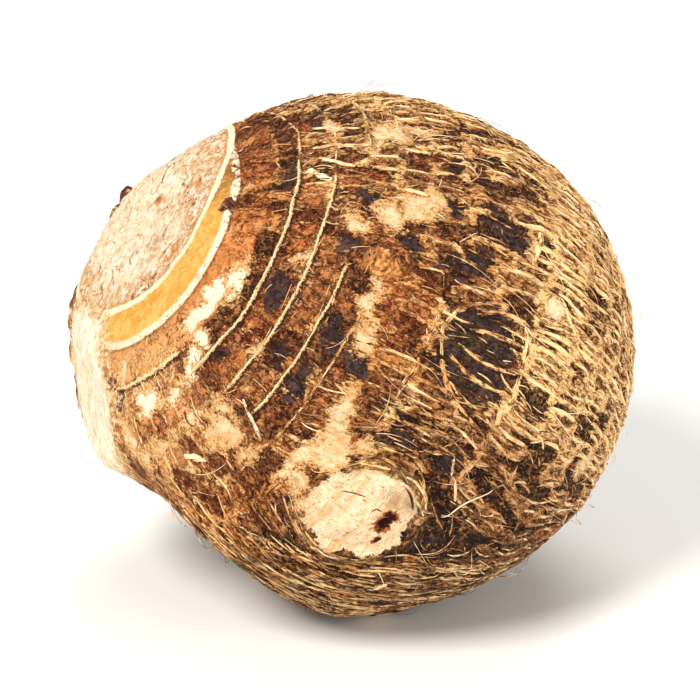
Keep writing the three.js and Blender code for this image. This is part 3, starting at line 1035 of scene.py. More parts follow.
def bare_layer(s, colour):
    """Bare patches of flesh, browned at the edge, streaked and specked, and palest where they are fresh."""
    bare = s.ragged(s.attribute("bare"), (s.crumbs, 0.2, 0.70), (s.fine, 0.2, 0.55), (s.speckle, 0.2, 0.45))
    browned = s.coats(STAINED_FLESH, [(s.speckle, 0.44, 0.60, 1.0, paint(230, 184, 122))])
    flesh = s.coats(paint(230, 204, 162), [
        (s.fine, 0.50, 0.66, 0.7, paint(214, 170, 112)),
        (s.wander, 0.52, 0.62, 0.7, paint(204, 154, 98)),
        (s.flakes, 0.50, 0.66, 0.6, TAN),
        (s.speckle, 0.56, 0.68, 0.8, STAINED_FLESH),
        (s.speckle, 0.36, 0.30, 0.8, BROWN),
    ])
    colour = s.coats(colour, [(bare, -0.80, -0.10, 0.8, browned), (bare, -0.05, 0.60, 0.95, flesh)])
    fresh = s.times(s.attribute("fresh"), s.rise(bare, -0.05, 0.70), s.rise(s.speckle, 0.36, 0.46, 0.2, 1.0))
    return s.mix(fresh, colour, paint(244, 228, 198))


def round_scar_layer(s, colour):
    """Round scars: their pith, its arcs, the bud's spiral, painted shade inside the large scar's rim on its
    right side, and the vein hole.
    """
    pith = s.ragged(s.attribute("pith"), (s.crumbs, 0.2, 0.34))
    scar_flesh = s.coats(paint(236, 216, 180), [
        (s.crumbs, 0.44, 0.62, 0.8, paint(214, 176, 126)),
        (s.flakes, 0.48, 0.60, 0.75, paint(206, 156, 100)),
        (s.speckle, 0.54, 0.66, 0.75, STAINED_FLESH),
        (s.speckle, 0.38, 0.30, 0.75, BROWN),
    ])
    arcs = s.ragged(s.attribute("arcs"), (s.crumbs, 0.2, 0.5))
    spiral = s.ragged(s.attribute("spiral"), (s.crumbs, 0.2, 1.5))
    bud = s.coats(paint(176, 104, 52), [
        (spiral, -0.4, 0.8, 1.0, paint(230, 172, 98)),
        (spiral, -0.7, -1.2, 1.0, STAIN_BROWN),
        (s.speckle, 0.52, 0.62, 0.8, BROWN),
    ])
    # Painted shade inside the large scar's raised rim on its right side: a grey-brown crescent with lighter
    # specks
    stained = s.coats(paint(84, 58, 42), [(s.speckle, 0.44, 0.56, 1.0, paint(160, 124, 90))])
    colour = s.coats(colour, [
        (pith, 0.40, 0.55, 1.0, scar_flesh),
        (arcs, 0.80, 1.05, 1.0, paint(150, 92, 50), s.rise(s.speckle, 0.38, 0.55), 0.8),
    ])
    colour = s.mix(s.times(s.attribute("bud"), s.rise(s.crumbs, 0.34, 0.56, 0.2, 0.85)), colour, bud)
    rim_shade = s.times(s.attribute("scar_rim_shade"), s.rise(s.speckle, 0.35, 0.60, 0.45, 1.0))
    colour = s.mix(rim_shade, colour, stained)
    hole = s.ragged(s.attribute("hole"), (s.crumbs, 0.2, 0.34))
    return s.coats(colour, [
        (hole, 0.25, 0.42, 1.0, paint(158, 82, 42)),
        (hole, 0.48, 0.66, 1.0, paint(46, 20, 12)),
    ])


def gold_layer(s, colour):
    """The gold ring of inner bark beside the cut crown."""
    gold = s.coats(GOLD, [
        (s.flakes, 0.40, 0.62, 1.0, paint(234, 186, 102)),
        (s.speckle, 0.57, 0.70, 0.75, paint(186, 116, 54)),
        (s.crumbs, 0.60, 0.74, 0.5, FLESH),
    ])
    return s.mix(s.attribute("gold"), colour, gold)


def crown_face_paint(s):
    """The cut face of the crown: cream, browned in stains and near its edge, chipped, lined and smeared."""
    near_edge = s.times(s.rise(s.cut, 0.8, 1.2), s.rise(s.cut, 6.5, 2.6), 0.9)
    grains = s.math("ADD", s.math("MULTIPLY", s.crumbs, 0.5), s.math("MULTIPLY", s.speckle, 0.5))
    mottle = s.rise(grains, 0.42, 0.60)
    stained = s.math("ADD", s.rise(s.blotches, 0.42, 0.64, 0.0, 0.8), near_edge)
    stained = s.math("ADD", stained, s.attribute("face_tan"))
    worn = s.rise(stained, 0.1, 0.9, 0.45, 0.95)
    chips = s.lumps(0.7, 3, 0.6, 1.2)
    contour = s.off_by(s.lumps(0.13, 3, 0.5, 0.9), 0.47)
    smear = s.ragged(s.attribute("smear"), (s.crumbs, 0.2, 0.7))
    return s.coats(paint(234, 217, 184), [
        (stained, 0.2, 1.0, 1.0, paint(208, 152, 90), s.rise(mottle, 0.0, 1.0, 0.35, 0.95)),
        (stained, 0.6, 1.2, 1.0, paint(176, 104, 52), s.rise(mottle, 0.45, 0.85), 0.85),
        (chips, 0.48, 0.38, 0.7, paint(250, 243, 228)),
        (chips, 0.53, 0.64, 1.0, paint(212, 162, 104), worn),
        (s.wander, 0.56, 0.68, 1.0, paint(196, 142, 90), worn, 0.8),
        (s.speckle, 0.57, 0.68, 1.0, paint(200, 146, 92), worn, 0.7),
        (s.speckle, 0.34, 0.27, 0.8, RUST),
        (contour, 0.010, 0.003, 1.0, STAIN_BROWN, s.rise(s.crumbs, 0.42, 0.54), 0.85),
        (smear, -0.2, 0.4, 0.85, paint(204, 138, 74)),
        (smear, 0.5, 0.9, 0.8, paint(132, 76, 42)),
    ])


def crown_cut_layer(s, colour, soot_colour):
    """The cut crown: a pale rim, the face inside it, a thin brown line at its edge, and soot outside it."""
    return s.coats(colour, [
        (s.cut, -0.55, -0.30, 1.0, paint(242, 226, 192)),
        (s.cut, 0.50, 0.80, 1.0, crown_face_paint(s)),
        (s.cut, 0.80, 0.95, 1.0, paint(196, 122, 58), s.rise(s.cut, 1.25, 1.05), 0.7),
        (s.soot, 0.1, 0.6, 1.0, soot_colour, s.rise(s.cut, -4.0, -3.0)),
    ])


def side_cut_layer(s, colour):
    """The side shoot's cut face, grooved and stained, with a browned border."""
    side = s.ragged(s.attribute("side_cut"), (s.crumbs, 0.2, 1.5), (s.fine, 0.2, 1.1))
    grooves = s.noise(s.scaled(s.mm, 0.9, 0.9, 0.30), 4, 0.6, 0.9)
    face = s.coats(paint(252, 243, 222), [
        (grooves, 0.44, 0.62, 0.75, paint(236, 202, 150)),
        (grooves, 0.60, 0.72, 0.6, paint(190, 144, 104)),
        (s.speckle, 0.58, 0.68, 0.7, STAINED_FLESH),
        (s.blotches, 0.52, 0.64, 0.6, paint(226, 176, 112)),
    ])
    border = s.coats(paint(222, 168, 104), [
        (s.wander, 0.44, 0.60, 1.0, paint(240, 214, 164)),
        (s.speckle, 0.44, 0.35, 0.8, STAIN_BROWN),
        (s.blotches, 0.50, 0.62, 1.0, paint(128, 84, 70), s.rise(side, 0.6, -0.6), 0.85),
    ])
    return s.coats(colour, [(side, -1.8, -0.9, 0.9, border), (side, -0.2, 1.6, 1.0, face)])


def skin_material():
    """Bark: cells of its ground colour between streaked tan ridges, with soot, threads, grit, pale leaf
    scars, bare flesh, round scars and the two cut faces laid over it. Ridges, crumbs, fibres and specks
    stand up as bumps."""
    s = BarkShader()
    threads = s.off_by(s.streaks(1.5, 2.6, 2), 0.5)
    soot_colour = soot_paint(s)
    colour = s.coats(cell_paint(s), [(s.soot, -0.25, 0.25, 0.94, soot_colour)])
    colour = grit_layer(s, ridge_layer(s, colour), threads)
    for layer in (leaf_scar_layer, bare_layer, round_scar_layer, gold_layer):
        colour = layer(s, colour)
    colour = side_cut_layer(s, crown_cut_layer(s, colour, soot_colour))

    lively = s.rise(s.plain, 0.0, 1.0, 1.0, 0.1)
    raised = s.times(s.rise(s.away, 0.25, -0.25), lively, s.rise(s.cut, -0.2, -0.8))
    thread_height = s.rise(threads, 0.016, 0.0)
    normal = None
    for height, distance, strength in (
        (raised, 0.45, 1.0), (s.crumbs, 0.50, 0.8), (s.fine, 0.30, 0.8), (thread_height, 0.10, 0.6),
        (s.speckle, 0.20, 0.8),
    ):
        normal = s.bump(height, distance, strength, normal)
    return s.finish(colour, normal, s.rise(s.crumbs, 0.3, 0.7, 0.70, 0.88))


def fibre_material(name, palest, roughness):
    """Dry fibre of its own shade, darker or paler by its tone, blotched, and streaked along its length."""
    s = Shader(name, roughness=roughness, specular=0.22)
    shade = s.attribute("shade", "Color")
    streak = s.noise(s.scaled(s.attribute("grain", "Vector"), 6.5, 1.0, 0.7), 3, 0.6)
    tone = s.ragged(s.attribute("tone"), (s.lumps(0.8, 4, 0.65), 0.2, 0.45), (streak, 0.2, 0.45))
    colour = s.coats(s.tinted(shade, 98, 64, 48), [
        (tone, 0.05, 0.50, 1.0, shade),
        (tone, 0.55, 1.1, 0.8, palest),
    ])
    return s.finish(colour, s.bump(streak, 0.16, 0.8))


# ------------------------------------------------------------------------------------------------- the skin
def stepped_polar(rows):
    """Polar angles of the skin's rows: close together across the leaf scars and wider apart beyond them."""
    stops = np.array([0, 10, 22, 62, 110, 150, 180])
    gaps = np.array([1.6, 1.2, 0.55, 0.60, 1.1, 1.5, 1.8])
    angle = np.linspace(0, 180, 3601)
    rate = np.cumsum(1 / np.interp(angle, stops, gaps))
    rate = (rate - rate[0]) / (rate[-1] - rate[0])
    return np.interp(np.arange(1, rows + 1) / (rows + 1), rate, angle)


def stepped_around(columns):
    """Around angles of the skin's columns: even steps and a sine, so closer together on the ringed side."""
    even = np.arange(columns) / columns * 360
    return even + math.degrees(0.28) * np.sin(np.radians(even - 105))


def ground_colour(polar, around, field):
    """The bark's colour in its cells: its own colour in coats over brown, each on a band of polar and a span
    of around, then painted shade low on the left and towards the floor, where there is some soil too.
    """
    points = field["points"]
    drift = 1.2 * layered_noise(points, 8.0, 2, 51)
    bent = polar + drift * step(polar, 40, 52) - sway(polar, around)[0]
    beyond_gold = step(bent, 33.2, 34)
    fleshy = step(layered_noise(points, 2.6, 3, 56), -0.55, 0.15) * span(around, 190, 247, 9)
    patchy = step(layered_noise(points, 12.0, 3, 57), 0.0, 0.5)
    shaded = span(around, 185, 290, 14) * step(polar, 64, 84) * (1 - scar_collar(polar, around))
    colour = coated(BROWN, [
        (ORANGE, (1 - beyond_gold) * blend(0.35, 1.0, span(around, 190, 306, 9))),
        (RUST, (1 - beyond_gold) * span(around, 300, 372, 10) * 0.7),
        (paint(228, 180, 122), step(bent, 26, 29) * (1 - step(bent, 48, 64)) * fleshy * 0.9),
        (paint(222, 160, 98), (1 - beyond_gold) * span(around, 200, 262, 12) * 0.8),
        (DARK_BROWN, beyond_gold * (1 - step(bent, 38, 38.8)) * span(around, 262, 380, 8) * 0.6),
        (RUST, step(bent, 38.5, 39.5) * (1 - step(bent, 45.5, 46.5)) * 0.55),
        (DARK_BROWN, step(bent, 46, 47) * (1 - step(bent, 57, 61)) * span(around, 244, 330, 10) * 0.25),
        (ORANGE, span(around, 196, 243, 9) * step(polar, 34, 44) * (1 - step(polar, 62, 90)) * 0.45),
        (DARK_BROWN, span(around, 318, 384, 12) * step(bent, 40, 46) * 0.6),
        (DARK_BROWN, step(bent, 68, 78) * 0.65),
        (paint(84, 48, 28), step(bent, 94, 102) * 0.85),
        (paint(116, 66, 38), step(bent, 76, 96) * span(around, 296, 384, 14) * 0.85),
        (paint(50, 28, 18), step(polar, 76, 104) * span(around, 190, 266, 16) * 0.6),
        (DARK_BROWN, patchy * step(polar, 50, 70) * 0.35),
        (RUST, step(field["rust"], -0.6, 1.2) * 0.85),
        (paint(206, 150, 90), scar_collar(polar, around)),
    ])
    # Painted shade: the cells between the ridges darkened low on the left, and darker towards the floor, with
    # some soil there
    colour = coat(colour, 0.24 * colour, 0.85 * shaded)
    return coat(colour, 0.16 * colour, np.minimum(1.4 * soil_and_painted_shade(polar, around), 1))


def scar_colour_fields(polar, around):
    """Where round scars show pith, thin arcs, a bud's spiral, painted shade inside the large scar's rim on its
    right side and dark holes, where the crown's face is smeared and tan, and where bark is plain, with no
    strong marks of its own."""
    shown = {"pith": np.zeros_like(polar), "bud": np.zeros_like(polar), "hole": np.zeros_like(polar)}
    for scar, palest in ((CORMEL_SCAR, 1.0), (PALE_BUD, 0.9), (BACK_CORMEL_SCAR, 0.85), (LOW_BUD, 0.7)):
        share = distance_from(polar, around, scar) / scar[2]
        share = share * (1 + 0.16 * layered_noise(on_ball(polar, around), 0.55 * scar[2], 2, 91))
        shown["pith"] = np.maximum(shown["pith"], palest * (1 - step(share, 0.74, 1.14)))
    along, across = offsets_from(polar, around, *CORMEL_SCAR[:2])
    from_side = np.hypot(along + 2.0, across + 5.0)
    inside = 1 - step(np.hypot(along, across), 0.8 * CORMEL_SCAR[2], CORMEL_SCAR[2])
    shown["arcs"] = inside * np.cos(2 * math.pi * from_side / 3.1) ** 8
    shown["spiral"] = np.full_like(polar, -1.0)
    for scar in (SWIRL_BUD, BACK_BUD):
        along, across = offsets_from(polar, around, scar[0], scar[1])
        apart = np.hypot(along, across)
        inside = 1 - step(apart / scar[2], 0.85, 1.1)
        turned = np.sin(2 * math.pi * apart / (0.42 * scar[2]) + np.arctan2(along, across))
        shown["spiral"] = np.where(inside > 0, turned, shown["spiral"])
        shown["bud"] = np.maximum(shown["bud"], inside)
    # Painted shade: a grey-brown crescent inside the large scar's raised rim on its right side
    along, across = offsets_from(polar, around, 89.6, 256.6)
    crescent = np.exp(-((along / 3.6) ** 2) - ((across + 0.05 * along ** 2) / 1.5) ** 2)
    shown["scar_rim_shade"] = 1.1 * crescent * (0.8 + 0.6 * gradient_noise(on_ball(polar, around) / 1.2, 93))
    for at_polar, at_around, half_long, half_wide in DARK_SPOTS:
        along, across = offsets_from(polar, around, at_polar, at_around)
        spot = np.exp(-((along / half_long) ** 2) - (across / half_wide) ** 2)
        shown["hole"] = np.maximum(shown["hole"], spot)
    for at_polar, at_around, reach in ROOT_SCARS:
        share = distance_from(polar, around, (at_polar, at_around)) / reach
        shown["hole"] = np.maximum(shown["hole"], 0.8 * bell(share, 0.6))
    shown["smear"] = depth_in_patches(polar, around, FACE_SMEARS)
    shown["face_tan"] = 0.8 * span(around, 296, 385, 18) * step(polar, 5, 12)
    inner = (1 - step(polar, 32.5, 34.5)) * span(around, 190, 306, 9)
    left = 0.55 * (1 - step(polar, 52, 64)) * span(around, 190, 246, 9)
    shown["plain_bark"] = np.maximum(inner, left)
    return shown


SKIN_LABELS = (
    "grain", "bare", "black", "stalk_cut", "side_cut", "scar_distance", "scar_offset", "scar_clear",
    "scar_width", "walls", "cell_tone", "ridge_reach",
)


def corm_skin(rows=190, columns=520):
    """The whole skin as one closed net over polar and around: a point is the direction of its two angles
    times the body's distance plus the relief. The two poles are fans."""
    polar, around = np.meshgrid(stepped_polar(rows), stepped_around(columns), indexing="ij")
    polar = np.concatenate([[0.0], polar.ravel(), [180.0]])
    around = np.concatenate([[0.0], around.ravel(), [0.0]])
    field = skin_fields(polar, around)
    distance = body_distance(polar, around) + skin_relief(polar, around, field)
    points = place(polar, around, distance)

    net = 1 + np.arange(rows * columns).reshape(rows, columns)
    following = np.roll(net, -1, axis=1)
    quads = np.stack([net[:-1], net[1:], following[1:], following[:-1]], -1).reshape(-1, 4)
    last = len(points) - 1
    crown_fan = np.stack([np.zeros(columns, int), net[0], following[0]], 1)
    root_fan = np.stack([np.full(columns, last), following[-1], net[-1]], 1)

    gold = step(-field["stalk_cut"], -0.1, 0.3) * (1 - step(field["scar_offset"], -0.6, -0.3))
    gold = gold * (field["scar_count"] < 1.5) * blend(0.25, 1.0, span(around, 180, 322, 14))
    shown = {label: field[label] for label in SKIN_LABELS}
    shown.update(scar_colour_fields(polar, around), gold=gold)
    shown["cell_tone"] = blend(field["cell_tone"], 0.72, 0.9 * step(shown["plain_bark"], 0.5, 1.0))
    shown["fresh"] = span(around, 216, 284, 8) * (1 - step(polar, 41, 47))
    shown["ground"] = ground_colour(polar, around, field)
    shown["ridge_colour"] = ridge_colour(polar, around)
    faces = [quads, np.concatenate([crown_fan, root_fan])]
    return make_piece("corm_skin", points, faces, skin_material(), shown)


# --------------------------------------------------------------------------------------------- fibres on it
def cell_ridges(name, material, first_row, seed):
    """Raised ridges on the walls between cells of bark. Each runs the height of its row and a little
    beyond, bows sideways by a cosine and leans over at its ends, and is as wide as the ridges reach
    there."""
    rng = np.random.default_rng(seed)
    row = np.repeat(np.arange(first_row, len(row_start)), row_cells[first_row:].astype(int))
    cell = np.concatenate([np.arange(cells) for cells in row_cells[first_row:]])
    _, before, tone_before = cell_middle(row, cell)
    _, after, tone_after = cell_middle(row, cell + 1)
    wall = (before + turn_between(after, before) / 2)[:, None]
    count = len(wall)
    share = np.linspace(-0.5, 0.5, 9)
    tall = (row_end - row_start)[row][:, None]
    long = tall * rng.uniform(0.75, 1.1, (count, 1)) + 1.6
    polar = ((row_start + row_end) / 2)[row][:, None] + share * long
    polar = polar + rng.normal(0, 0.06, (count, 1)) * tall
    spacing = 360 / row_cells[row][:, None]
    bow = rng.normal(0, 0.13, (count, 1)) * np.cos(math.pi * share)
    lean = rng.choice([-1, 1], (count, 1)) * rng.uniform(0.1, 0.5, (count, 1)) * np.abs(2 * share) ** 3
    around = wall + spacing * (bow + lean)
    lean, swing = sway(polar, around)
    polar, around = np.clip(polar + lean, 1, 178), around + swing
    around = bent_round_scars(polar, around)
    kept = rng.random(count) < fibre_cover(polar, around).mean(axis=1)
    kept = kept & (np.maximum(tone_before, tone_after) > merging(polar, around).mean(axis=1))
    kept = kept & (is_open(polar, around).mean(axis=1) > 0.35)
    polar, around, count = polar[kept], around[kept], kept.sum()

    spot = on_ball(polar, around)
    taper = np.clip(np.cos(math.pi * share), 0, 1) ** 0.4 * is_open(polar, around)
    reach = np.maximum(ridge_reach(polar, around), 0.12)
    stout = rng.uniform(1.0, 2.3, (count, 1)) * (1 + 0.40 * gradient_noise(spot / 1.7, seed + 7))
    width = reach * stout * (0.25 + 0.75 * taper)
    height = (0.04 + 0.34 * np.minimum(width, 1.0)) * taper
    lift = -0.30 + 0.25 * taper
    tone = rng.normal(0.52, 0.20, (count, 1)) + 0.35 * layered_noise(spot, 4.5, 2, seed + 9)
    tone = tone - 0.40 * step(depth_in_patches(polar, around, BLACK_PATCHES), -0.8, 0.8)
    return lay_on_skin(name, polar, around, width, height, lift, tone, material, ROUND_BACK)


def fine_thinning(polar, around):
    """The share of fine fibres that is left out: more low on the left, where long strands lie instead."""
    return 0.6 * span(around, 190, 266, 10) * step(polar, 66, 80)


def strand_thinning(polar, around):
    """The share of strands that is left out: nearly all of them on the right, and all on black patches."""
    share = 0.9 * span(around, 278, 384, 10)
    return np.where(depth_in_patches(polar, around, BLACK_PATCHES) < 0, share, 1.0)


def coarse_thinning(polar, around):
    """The share of coarse strands that is left out: as for any strands, and most low on the left too."""
    return strand_thinning(polar, around) + 0.7 * span(around, 190, 250, 10)


def scattered_fibres(
    name, material, thinning, count, seed, lengths, widths, begins, slant=14, spread=(0, 360)
):
    """Fibres scattered evenly over the skin beyond a polar angle, each a shallow curve that leans off the
    meridian by about the slant in degrees, or further beside the large scar. Polar comes from an even
    spread of its cosine, so that no place is crowded. Lengths and widths are each a least and a most in mm,
    thinning gives the share that is left out, and spread is the stretch of around that they lie on."""
    rng = np.random.default_rng(seed)
    share = np.linspace(-0.5, 0.5, 7)
    cosines = rng.uniform(math.cos(math.radians(LAST_FIBRE)), math.cos(math.radians(begins)), count)
    middle = np.degrees(np.arccos(cosines))
    base = rng.uniform(*spread, count)
    kept = rng.random(count) < 0.30 + 0.70 * fibre_cover(middle, base)
    kept = kept & (rng.random(count) > thinning(middle, base))
    middle, base = middle[kept, None], base[kept, None]
    count = len(middle)

    long = rng.uniform(*lengths, (count, 1))
    tangled = 0.6 * span(base, 250, 284, 6) * step(middle, 80, 90) * (1 - step(middle, 112, 122))
    lean = np.radians(rng.normal(0, 1, (count, 1)) * blend(slant, 2.2 * slant, tangled))
    crosswise = (rng.random((count, 1)) < 0.22) & (middle < 75)
    lean = np.where(crosswise, math.pi / 2 + lean, lean)
    long = long * np.where(crosswise, 0.6, blend(1.0, 0.6, tangled))
    bow = rng.normal(0, 0.6, (count, 1)) * (share ** 2 * 4 - 1) * long / 6
    polar = middle + (share * long * np.cos(lean) - bow * np.sin(lean)) / MM_PER_DEGREE
    scale = MM_PER_DEGREE * np.sin(np.radians(middle))
    around = bent_round_scars(polar, base + (share * long * np.sin(lean) + bow * np.cos(lean)) / scale)

    spot = on_ball(polar, around)
    taper = np.sqrt(np.clip(np.cos(math.pi * share), 0, 1)) * is_open(polar, around)
    wide = rng.uniform(*widths, (count, 1))
    lift = -0.14 + rng.uniform(0.12, 0.46, (count, 1)) * taper * blend(1.0, 0.4, step(wide, 0.2, 0.5))
    tone = rng.normal(0.42, 0.30, (count, 1)) + 0.15 * (step(polar, 60, 105) - 0.5)
    tone = tone + 0.2 * layered_noise(spot, 9.0, 2, seed + 9)
    width = wide * (0.3 + 0.7 * taper) * (1 + 0.25 * gradient_noise(spot / 1.5, seed + 5))
    height = np.minimum(wide, 0.40) * 0.7 * taper
    clear = distance_from(polar, around, CORMEL_SCAR).min(axis=1) > 0.93 * CORMEL_SCAR[2]
    kept_rows = (rows[clear] for rows in (polar, around, width, height, lift, tone))
    return lay_on_skin(name, *kept_rows, material, taut=1)


def leaf_scar_lips(name, material):
    """The frayed papery lip left by each leaf: a strip along its ring, as tall as the scar is clear there.
    The ring's swayed line is found by moving each point to the nearest scar, three times."""
    angle = np.array([scar[0] for scar in LEAF_SCARS[1:]])[:, None]
    polar, around = np.broadcast_arrays(angle, np.linspace(0, 360, 900))
    spot = on_ball(polar, around)
    for _ in range(3):
        field = skin_fields(polar.ravel(), around.ravel())
        polar = polar - field["scar_offset"].reshape(polar.shape) / MM_PER_DEGREE
    clear = field["scar_clear"].reshape(polar.shape)
    frayed = np.clip(clear - 0.10 + 0.85 * layered_noise(spot, 2.6, 3, 71), 0, 1.2) * (clear > 0.16)
    shown = step(frayed, 0.28, 0.62) * is_open(polar, around)
    knobbly = np.maximum(1 + 0.55 * layered_noise(spot, 2.0, 2, 75), 0.3)
    width = field["scar_width"].reshape(polar.shape) * (0.28 + 0.34 * frayed) * knobbly
    width = width * (0.2 + 0.8 * shown)
    height = (0.04 + 0.17 * frayed * knobbly) * shown
    tone = 0.30 + 0.45 * clear + 0.25 * gradient_noise(spot / 1.5, 77)
    lift = -0.30 + 0.28 * shown
    pale = paint(250, 214, 158)
    return lay_on_skin(name, polar, around, width, height, lift, tone, material, shade=pale)


def scar_spurs(name, material, count, seed):
    """Short stiff fibres that stand across the clear leaf scars: each starts near a ring, on one side or
    the other, and runs off it at its own slant."""
    rng = np.random.default_rng(seed)
    share = np.linspace(0, 1, 6)
    angles = np.array([scar[0] for scar in LEAF_SCARS[1:8]])
    ring = rng.choice(len(angles), count)
    around = rng.uniform(0, 360, count)
    start = angles[ring] + sway(angles[ring], around)[0]
    clear = leaf_scar_fields(start, around)[1]
    kept = rng.random(count) < clear
    start, around = start[kept, None], around[kept, None]
    long = rng.uniform(0.4, 1.9, (len(start), 1)) * rng.choice([-1, 1], (len(start), 1), p=[0.35, 0.65])
    slant = rng.normal(0, 0.8, (len(start), 1)).clip(-1.3, 1.3) + rng.normal(0, 0.2, (len(start), 1)) * share
    polar = start + (long * share - 0.15 * np.sign(long)) / MM_PER_DEGREE
    around = around + long * share * np.tan(slant) / (MM_PER_DEGREE * np.sin(np.radians(start)))
    taper = (1 - share) ** 0.5 * is_open(polar, around)
    width = rng.uniform(0.12, 0.30, (len(start), 1)) * (0.25 + 0.75 * taper)
    tone = rng.uniform(0.1, 0.8, (len(start), 1)) + 0.0 * share
    lift = -0.14 + 0.12 * taper
    brown = paint(226, 170, 108)
    return lay_on_skin(name, polar, around, width, 0.6 * width, lift, tone, material, shade=brown)


def drawn_strips(name, table, material, corners=ROUND_BACK, blunt=0.35, shade=None):
    """Strips that have a place of their own, each along a smooth path through its way-points: straight runs
    between them by share of the path, evened out three times."""
    share = np.linspace(0, 1, 16)
    paths = [np.array(row[-1], dtype=float) for row in table]
    polar, around = (
        np.stack([np.interp(share, np.linspace(0, 1, len(path)), path[:, angle]) for path in paths])
        for angle in (0, 1)
    )
    polar, around = evened_out(polar, 3), evened_out(around, 3)
    wide, high, lifted, tone = (np.array([row[i] for row in table])[:, None] for i in range(4))
    spot = on_ball(polar, around)
    taper = np.clip(np.sin(math.pi * share), 0, 1) ** blunt
    width = wide * (0.30 + 0.70 * taper) * (1 + 0.55 * gradient_noise(spot / 0.9, 81))
    height = high * taper * (1 + 0.4 * gradient_noise(spot / 1.6, 85))
    lift = lifted * taper - 0.15
    tones = tone + 0.3 * gradient_noise(spot / 1.5, 83)
    return lay_on_skin(name, polar, around, width, height, lift, tones, material, corners, shade, taut=2)


def loose_hairs(name, material, count, seed):
    """Rootlets that have come loose: each leaves the skin, bows sideways and lifts off by a few mm at most."""
    rng = np.random.default_rng(seed)
    points = 12
    share = np.linspace(0, 1, points)
    polar = np.degrees(np.arccos(rng.uniform(-0.98, 0.62, (count, 1))))
    around = rng.uniform(0, 360, (count, 1))
    long = rng.uniform(3.0, 10.0, (count, 1))
    aim = np.radians(rng.normal(0, 32, (count, 1)) + rng.normal(0, 55, (count, 1)) * share)
    along = np.cumsum(np.cos(aim), axis=1) / points * long
    across = np.cumsum(np.sin(aim), axis=1) / points * long
    around = around + across / (MM_PER_DEGREE * np.sin(np.radians(polar)))
    polar = np.clip(polar + along / MM_PER_DEGREE, 2, 178)
    rising = rng.uniform(0.1, 1.0, (count, 1)) ** 2 * 2.6
    lift = -0.2 + rising * np.sin(math.pi * share * rng.uniform(0.5, 1.0, (count, 1))) + 0.25 * share
    kept = is_open(polar, around).min(axis=1) > 0.5
    thin = rng.uniform(0.10, 0.19, (count, 1)) * (1 - 0.55 * share)
    tone = rng.uniform(0.35, 1.0, (count, 1)) + 0.0 * share
    near_floor = place(polar, around, body_distance(polar, around))[..., 2].min(axis=1) < 9.0
    kept = kept & ~(near_floor & (rng.random(count) < 0.75))
    lift = np.where(near_floor[:, None], 0.4 * lift, lift)
    polar, around, lift, thin, tone = (rows[kept] for rows in (polar, around, lift, thin, tone))
    return lay_on_skin(name, polar, around, thin, 0.8 * thin, lift, tone, material, taut=4)


# ------------------------------------------------------------------------------------------------- dressing
tan_fibre = fibre_material("dry_tan_fibre", paint(250, 226, 180), 0.74)
fine_fibre = fibre_material("fine_straw_fibre", paint(252, 230, 190), 0.76)
golden_fibre = fibre_material("golden_side_fibre", paint(244, 206, 146), 0.76)
lip_paper = fibre_material("papery_leaf_scar", paint(240, 220, 180), 0.8)

skin = corm_skin()
pieces = [
    skin,
    cell_ridges("cell_ridges", tan_fibre, first_row=2, seed=101),
    scattered_fibres(
        "fine_fibres", fine_fibre, fine_thinning, count=3000, seed=202,
        lengths=(1.5, 5.0), widths=(0.10, 0.26), begins=26,
    ),
    scattered_fibres(
        "coarse_strands", tan_fibre, coarse_thinning, count=1500, seed=505,
        lengths=(3.0, 8.0), widths=(0.30, 0.65), begins=60,
    ),
    scattered_fibres(
        "side_strands", golden_fibre, strand_thinning, count=660, seed=606,
        lengths=(5.0, 12.0), widths=(0.32, 0.74), begins=64, slant=6, spread=(186, 247),
    ),
    leaf_scar_lips("leaf_scar_lips", lip_paper),
    scar_spurs("scar_spurs", lip_paper, count=700, seed=404),
    drawn_strips("drawn_ridges", DRAWN_RIDGES, tan_fibre),
    drawn_strips("pale_slivers", PALE_SLIVERS, lip_paper, FLAT_BACK, blunt=0.12, shade=FLESH),
    drawn_strips("dry_remnants", DRY_REMNANTS, tan_fibre, FLAT_BACK, shade=STAIN_BROWN),
    loose_hairs("loose_hairs", fine_fibre, count=420, seed=303),
]
for piece in pieces:
    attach(piece, "root")
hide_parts("corm")


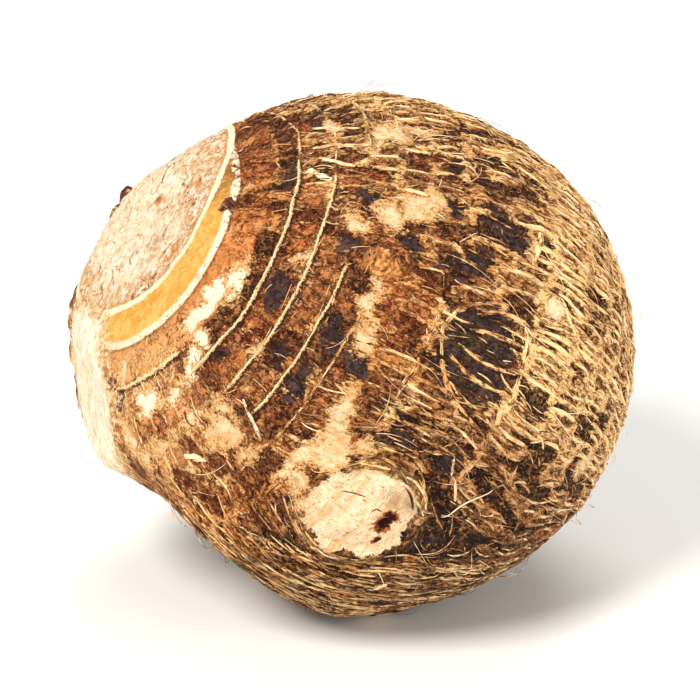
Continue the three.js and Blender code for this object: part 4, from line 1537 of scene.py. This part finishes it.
# ------------------------------------------------------------------------------------- floor, light, camera
def floor():
    """A plain pale floor, well beyond what the camera sees."""
    half = 3.0
    mesh = bpy.data.meshes.new("pale_floor")
    corners = [(-half, -half, 0), (half, -half, 0), (half, half, 0), (-half, half, 0)]
    mesh.from_pydata(corners, [], [(0, 1, 2, 3)])
    s = Shader("pale_floor_paint", roughness=0.6, specular=0.2)
    tone = s.lumps(0.004)
    colour = s.coats(paint(244, 243, 240), [(tone, 0.3, 0.7, 1.0, paint(248, 247, 245))])
    mesh.materials.append(s.finish(colour, s.bump(tone, 0.05)))
    laid = bpy.data.objects.new("pale_floor", mesh)
    bpy.context.scene.collection.objects.link(laid)


def aim_from(spot, target):
    """The turn that points a camera or a light from one spot at another."""
    way = np.array(target) - np.array(spot)
    level = math.hypot(way[0], way[1])
    return (math.atan2(level, -way[2]), 0.0, math.atan2(-way[0], way[1]))


def area_light(name, spot, target, size, watts, colour):
    """A round soft light that faces the target."""
    data = bpy.data.lights.new(name, "AREA")
    data.shape, data.size, data.energy, data.color = "DISK", size, watts, colour
    lamp = bpy.data.objects.new(name, data)
    lamp.location, lamp.rotation_euler = spot, aim_from(spot, target)
    bpy.context.scene.collection.objects.link(lamp)


middle = (corm_low + corm_high) / 2 * MM
floor()
area_light("key_softbox", (-0.42, -0.62, 0.78), middle, 0.40, 12.4, (1.0, 0.98, 0.94))
area_light("fill_softbox", (0.75, -0.55, 0.35), middle, 0.6, 4.8, (1.0, 0.97, 0.93))
area_light("top_softbox", (0.15, 0.35, 0.9), middle, 0.6, 4.4, (1.0, 1.0, 1.0))

world = bpy.data.worlds.new("pale_room")
world.use_nodes = True
world.node_tree.nodes["Background"].inputs["Color"].default_value = (1.0, 0.99, 0.97, 1.0)
world.node_tree.nodes["Background"].inputs["Strength"].default_value = 0.36
scene = bpy.context.scene
scene.world = world
scene.view_settings.view_transform = "Standard"
scene.view_settings.look = "None"

CAMERA_RISE, CAMERA_DISTANCE, LENS = math.radians(22), 0.61, 200.0
camera_data = bpy.data.cameras.new("camera")
camera_data.lens = LENS
camera = bpy.data.objects.new("camera", camera_data)
camera.location = middle + CAMERA_DISTANCE * np.array([0, -math.cos(CAMERA_RISE), math.sin(CAMERA_RISE)])
camera.rotation_euler = aim_from(camera.location, middle)
scene.collection.objects.link(camera)
scene.camera = camera
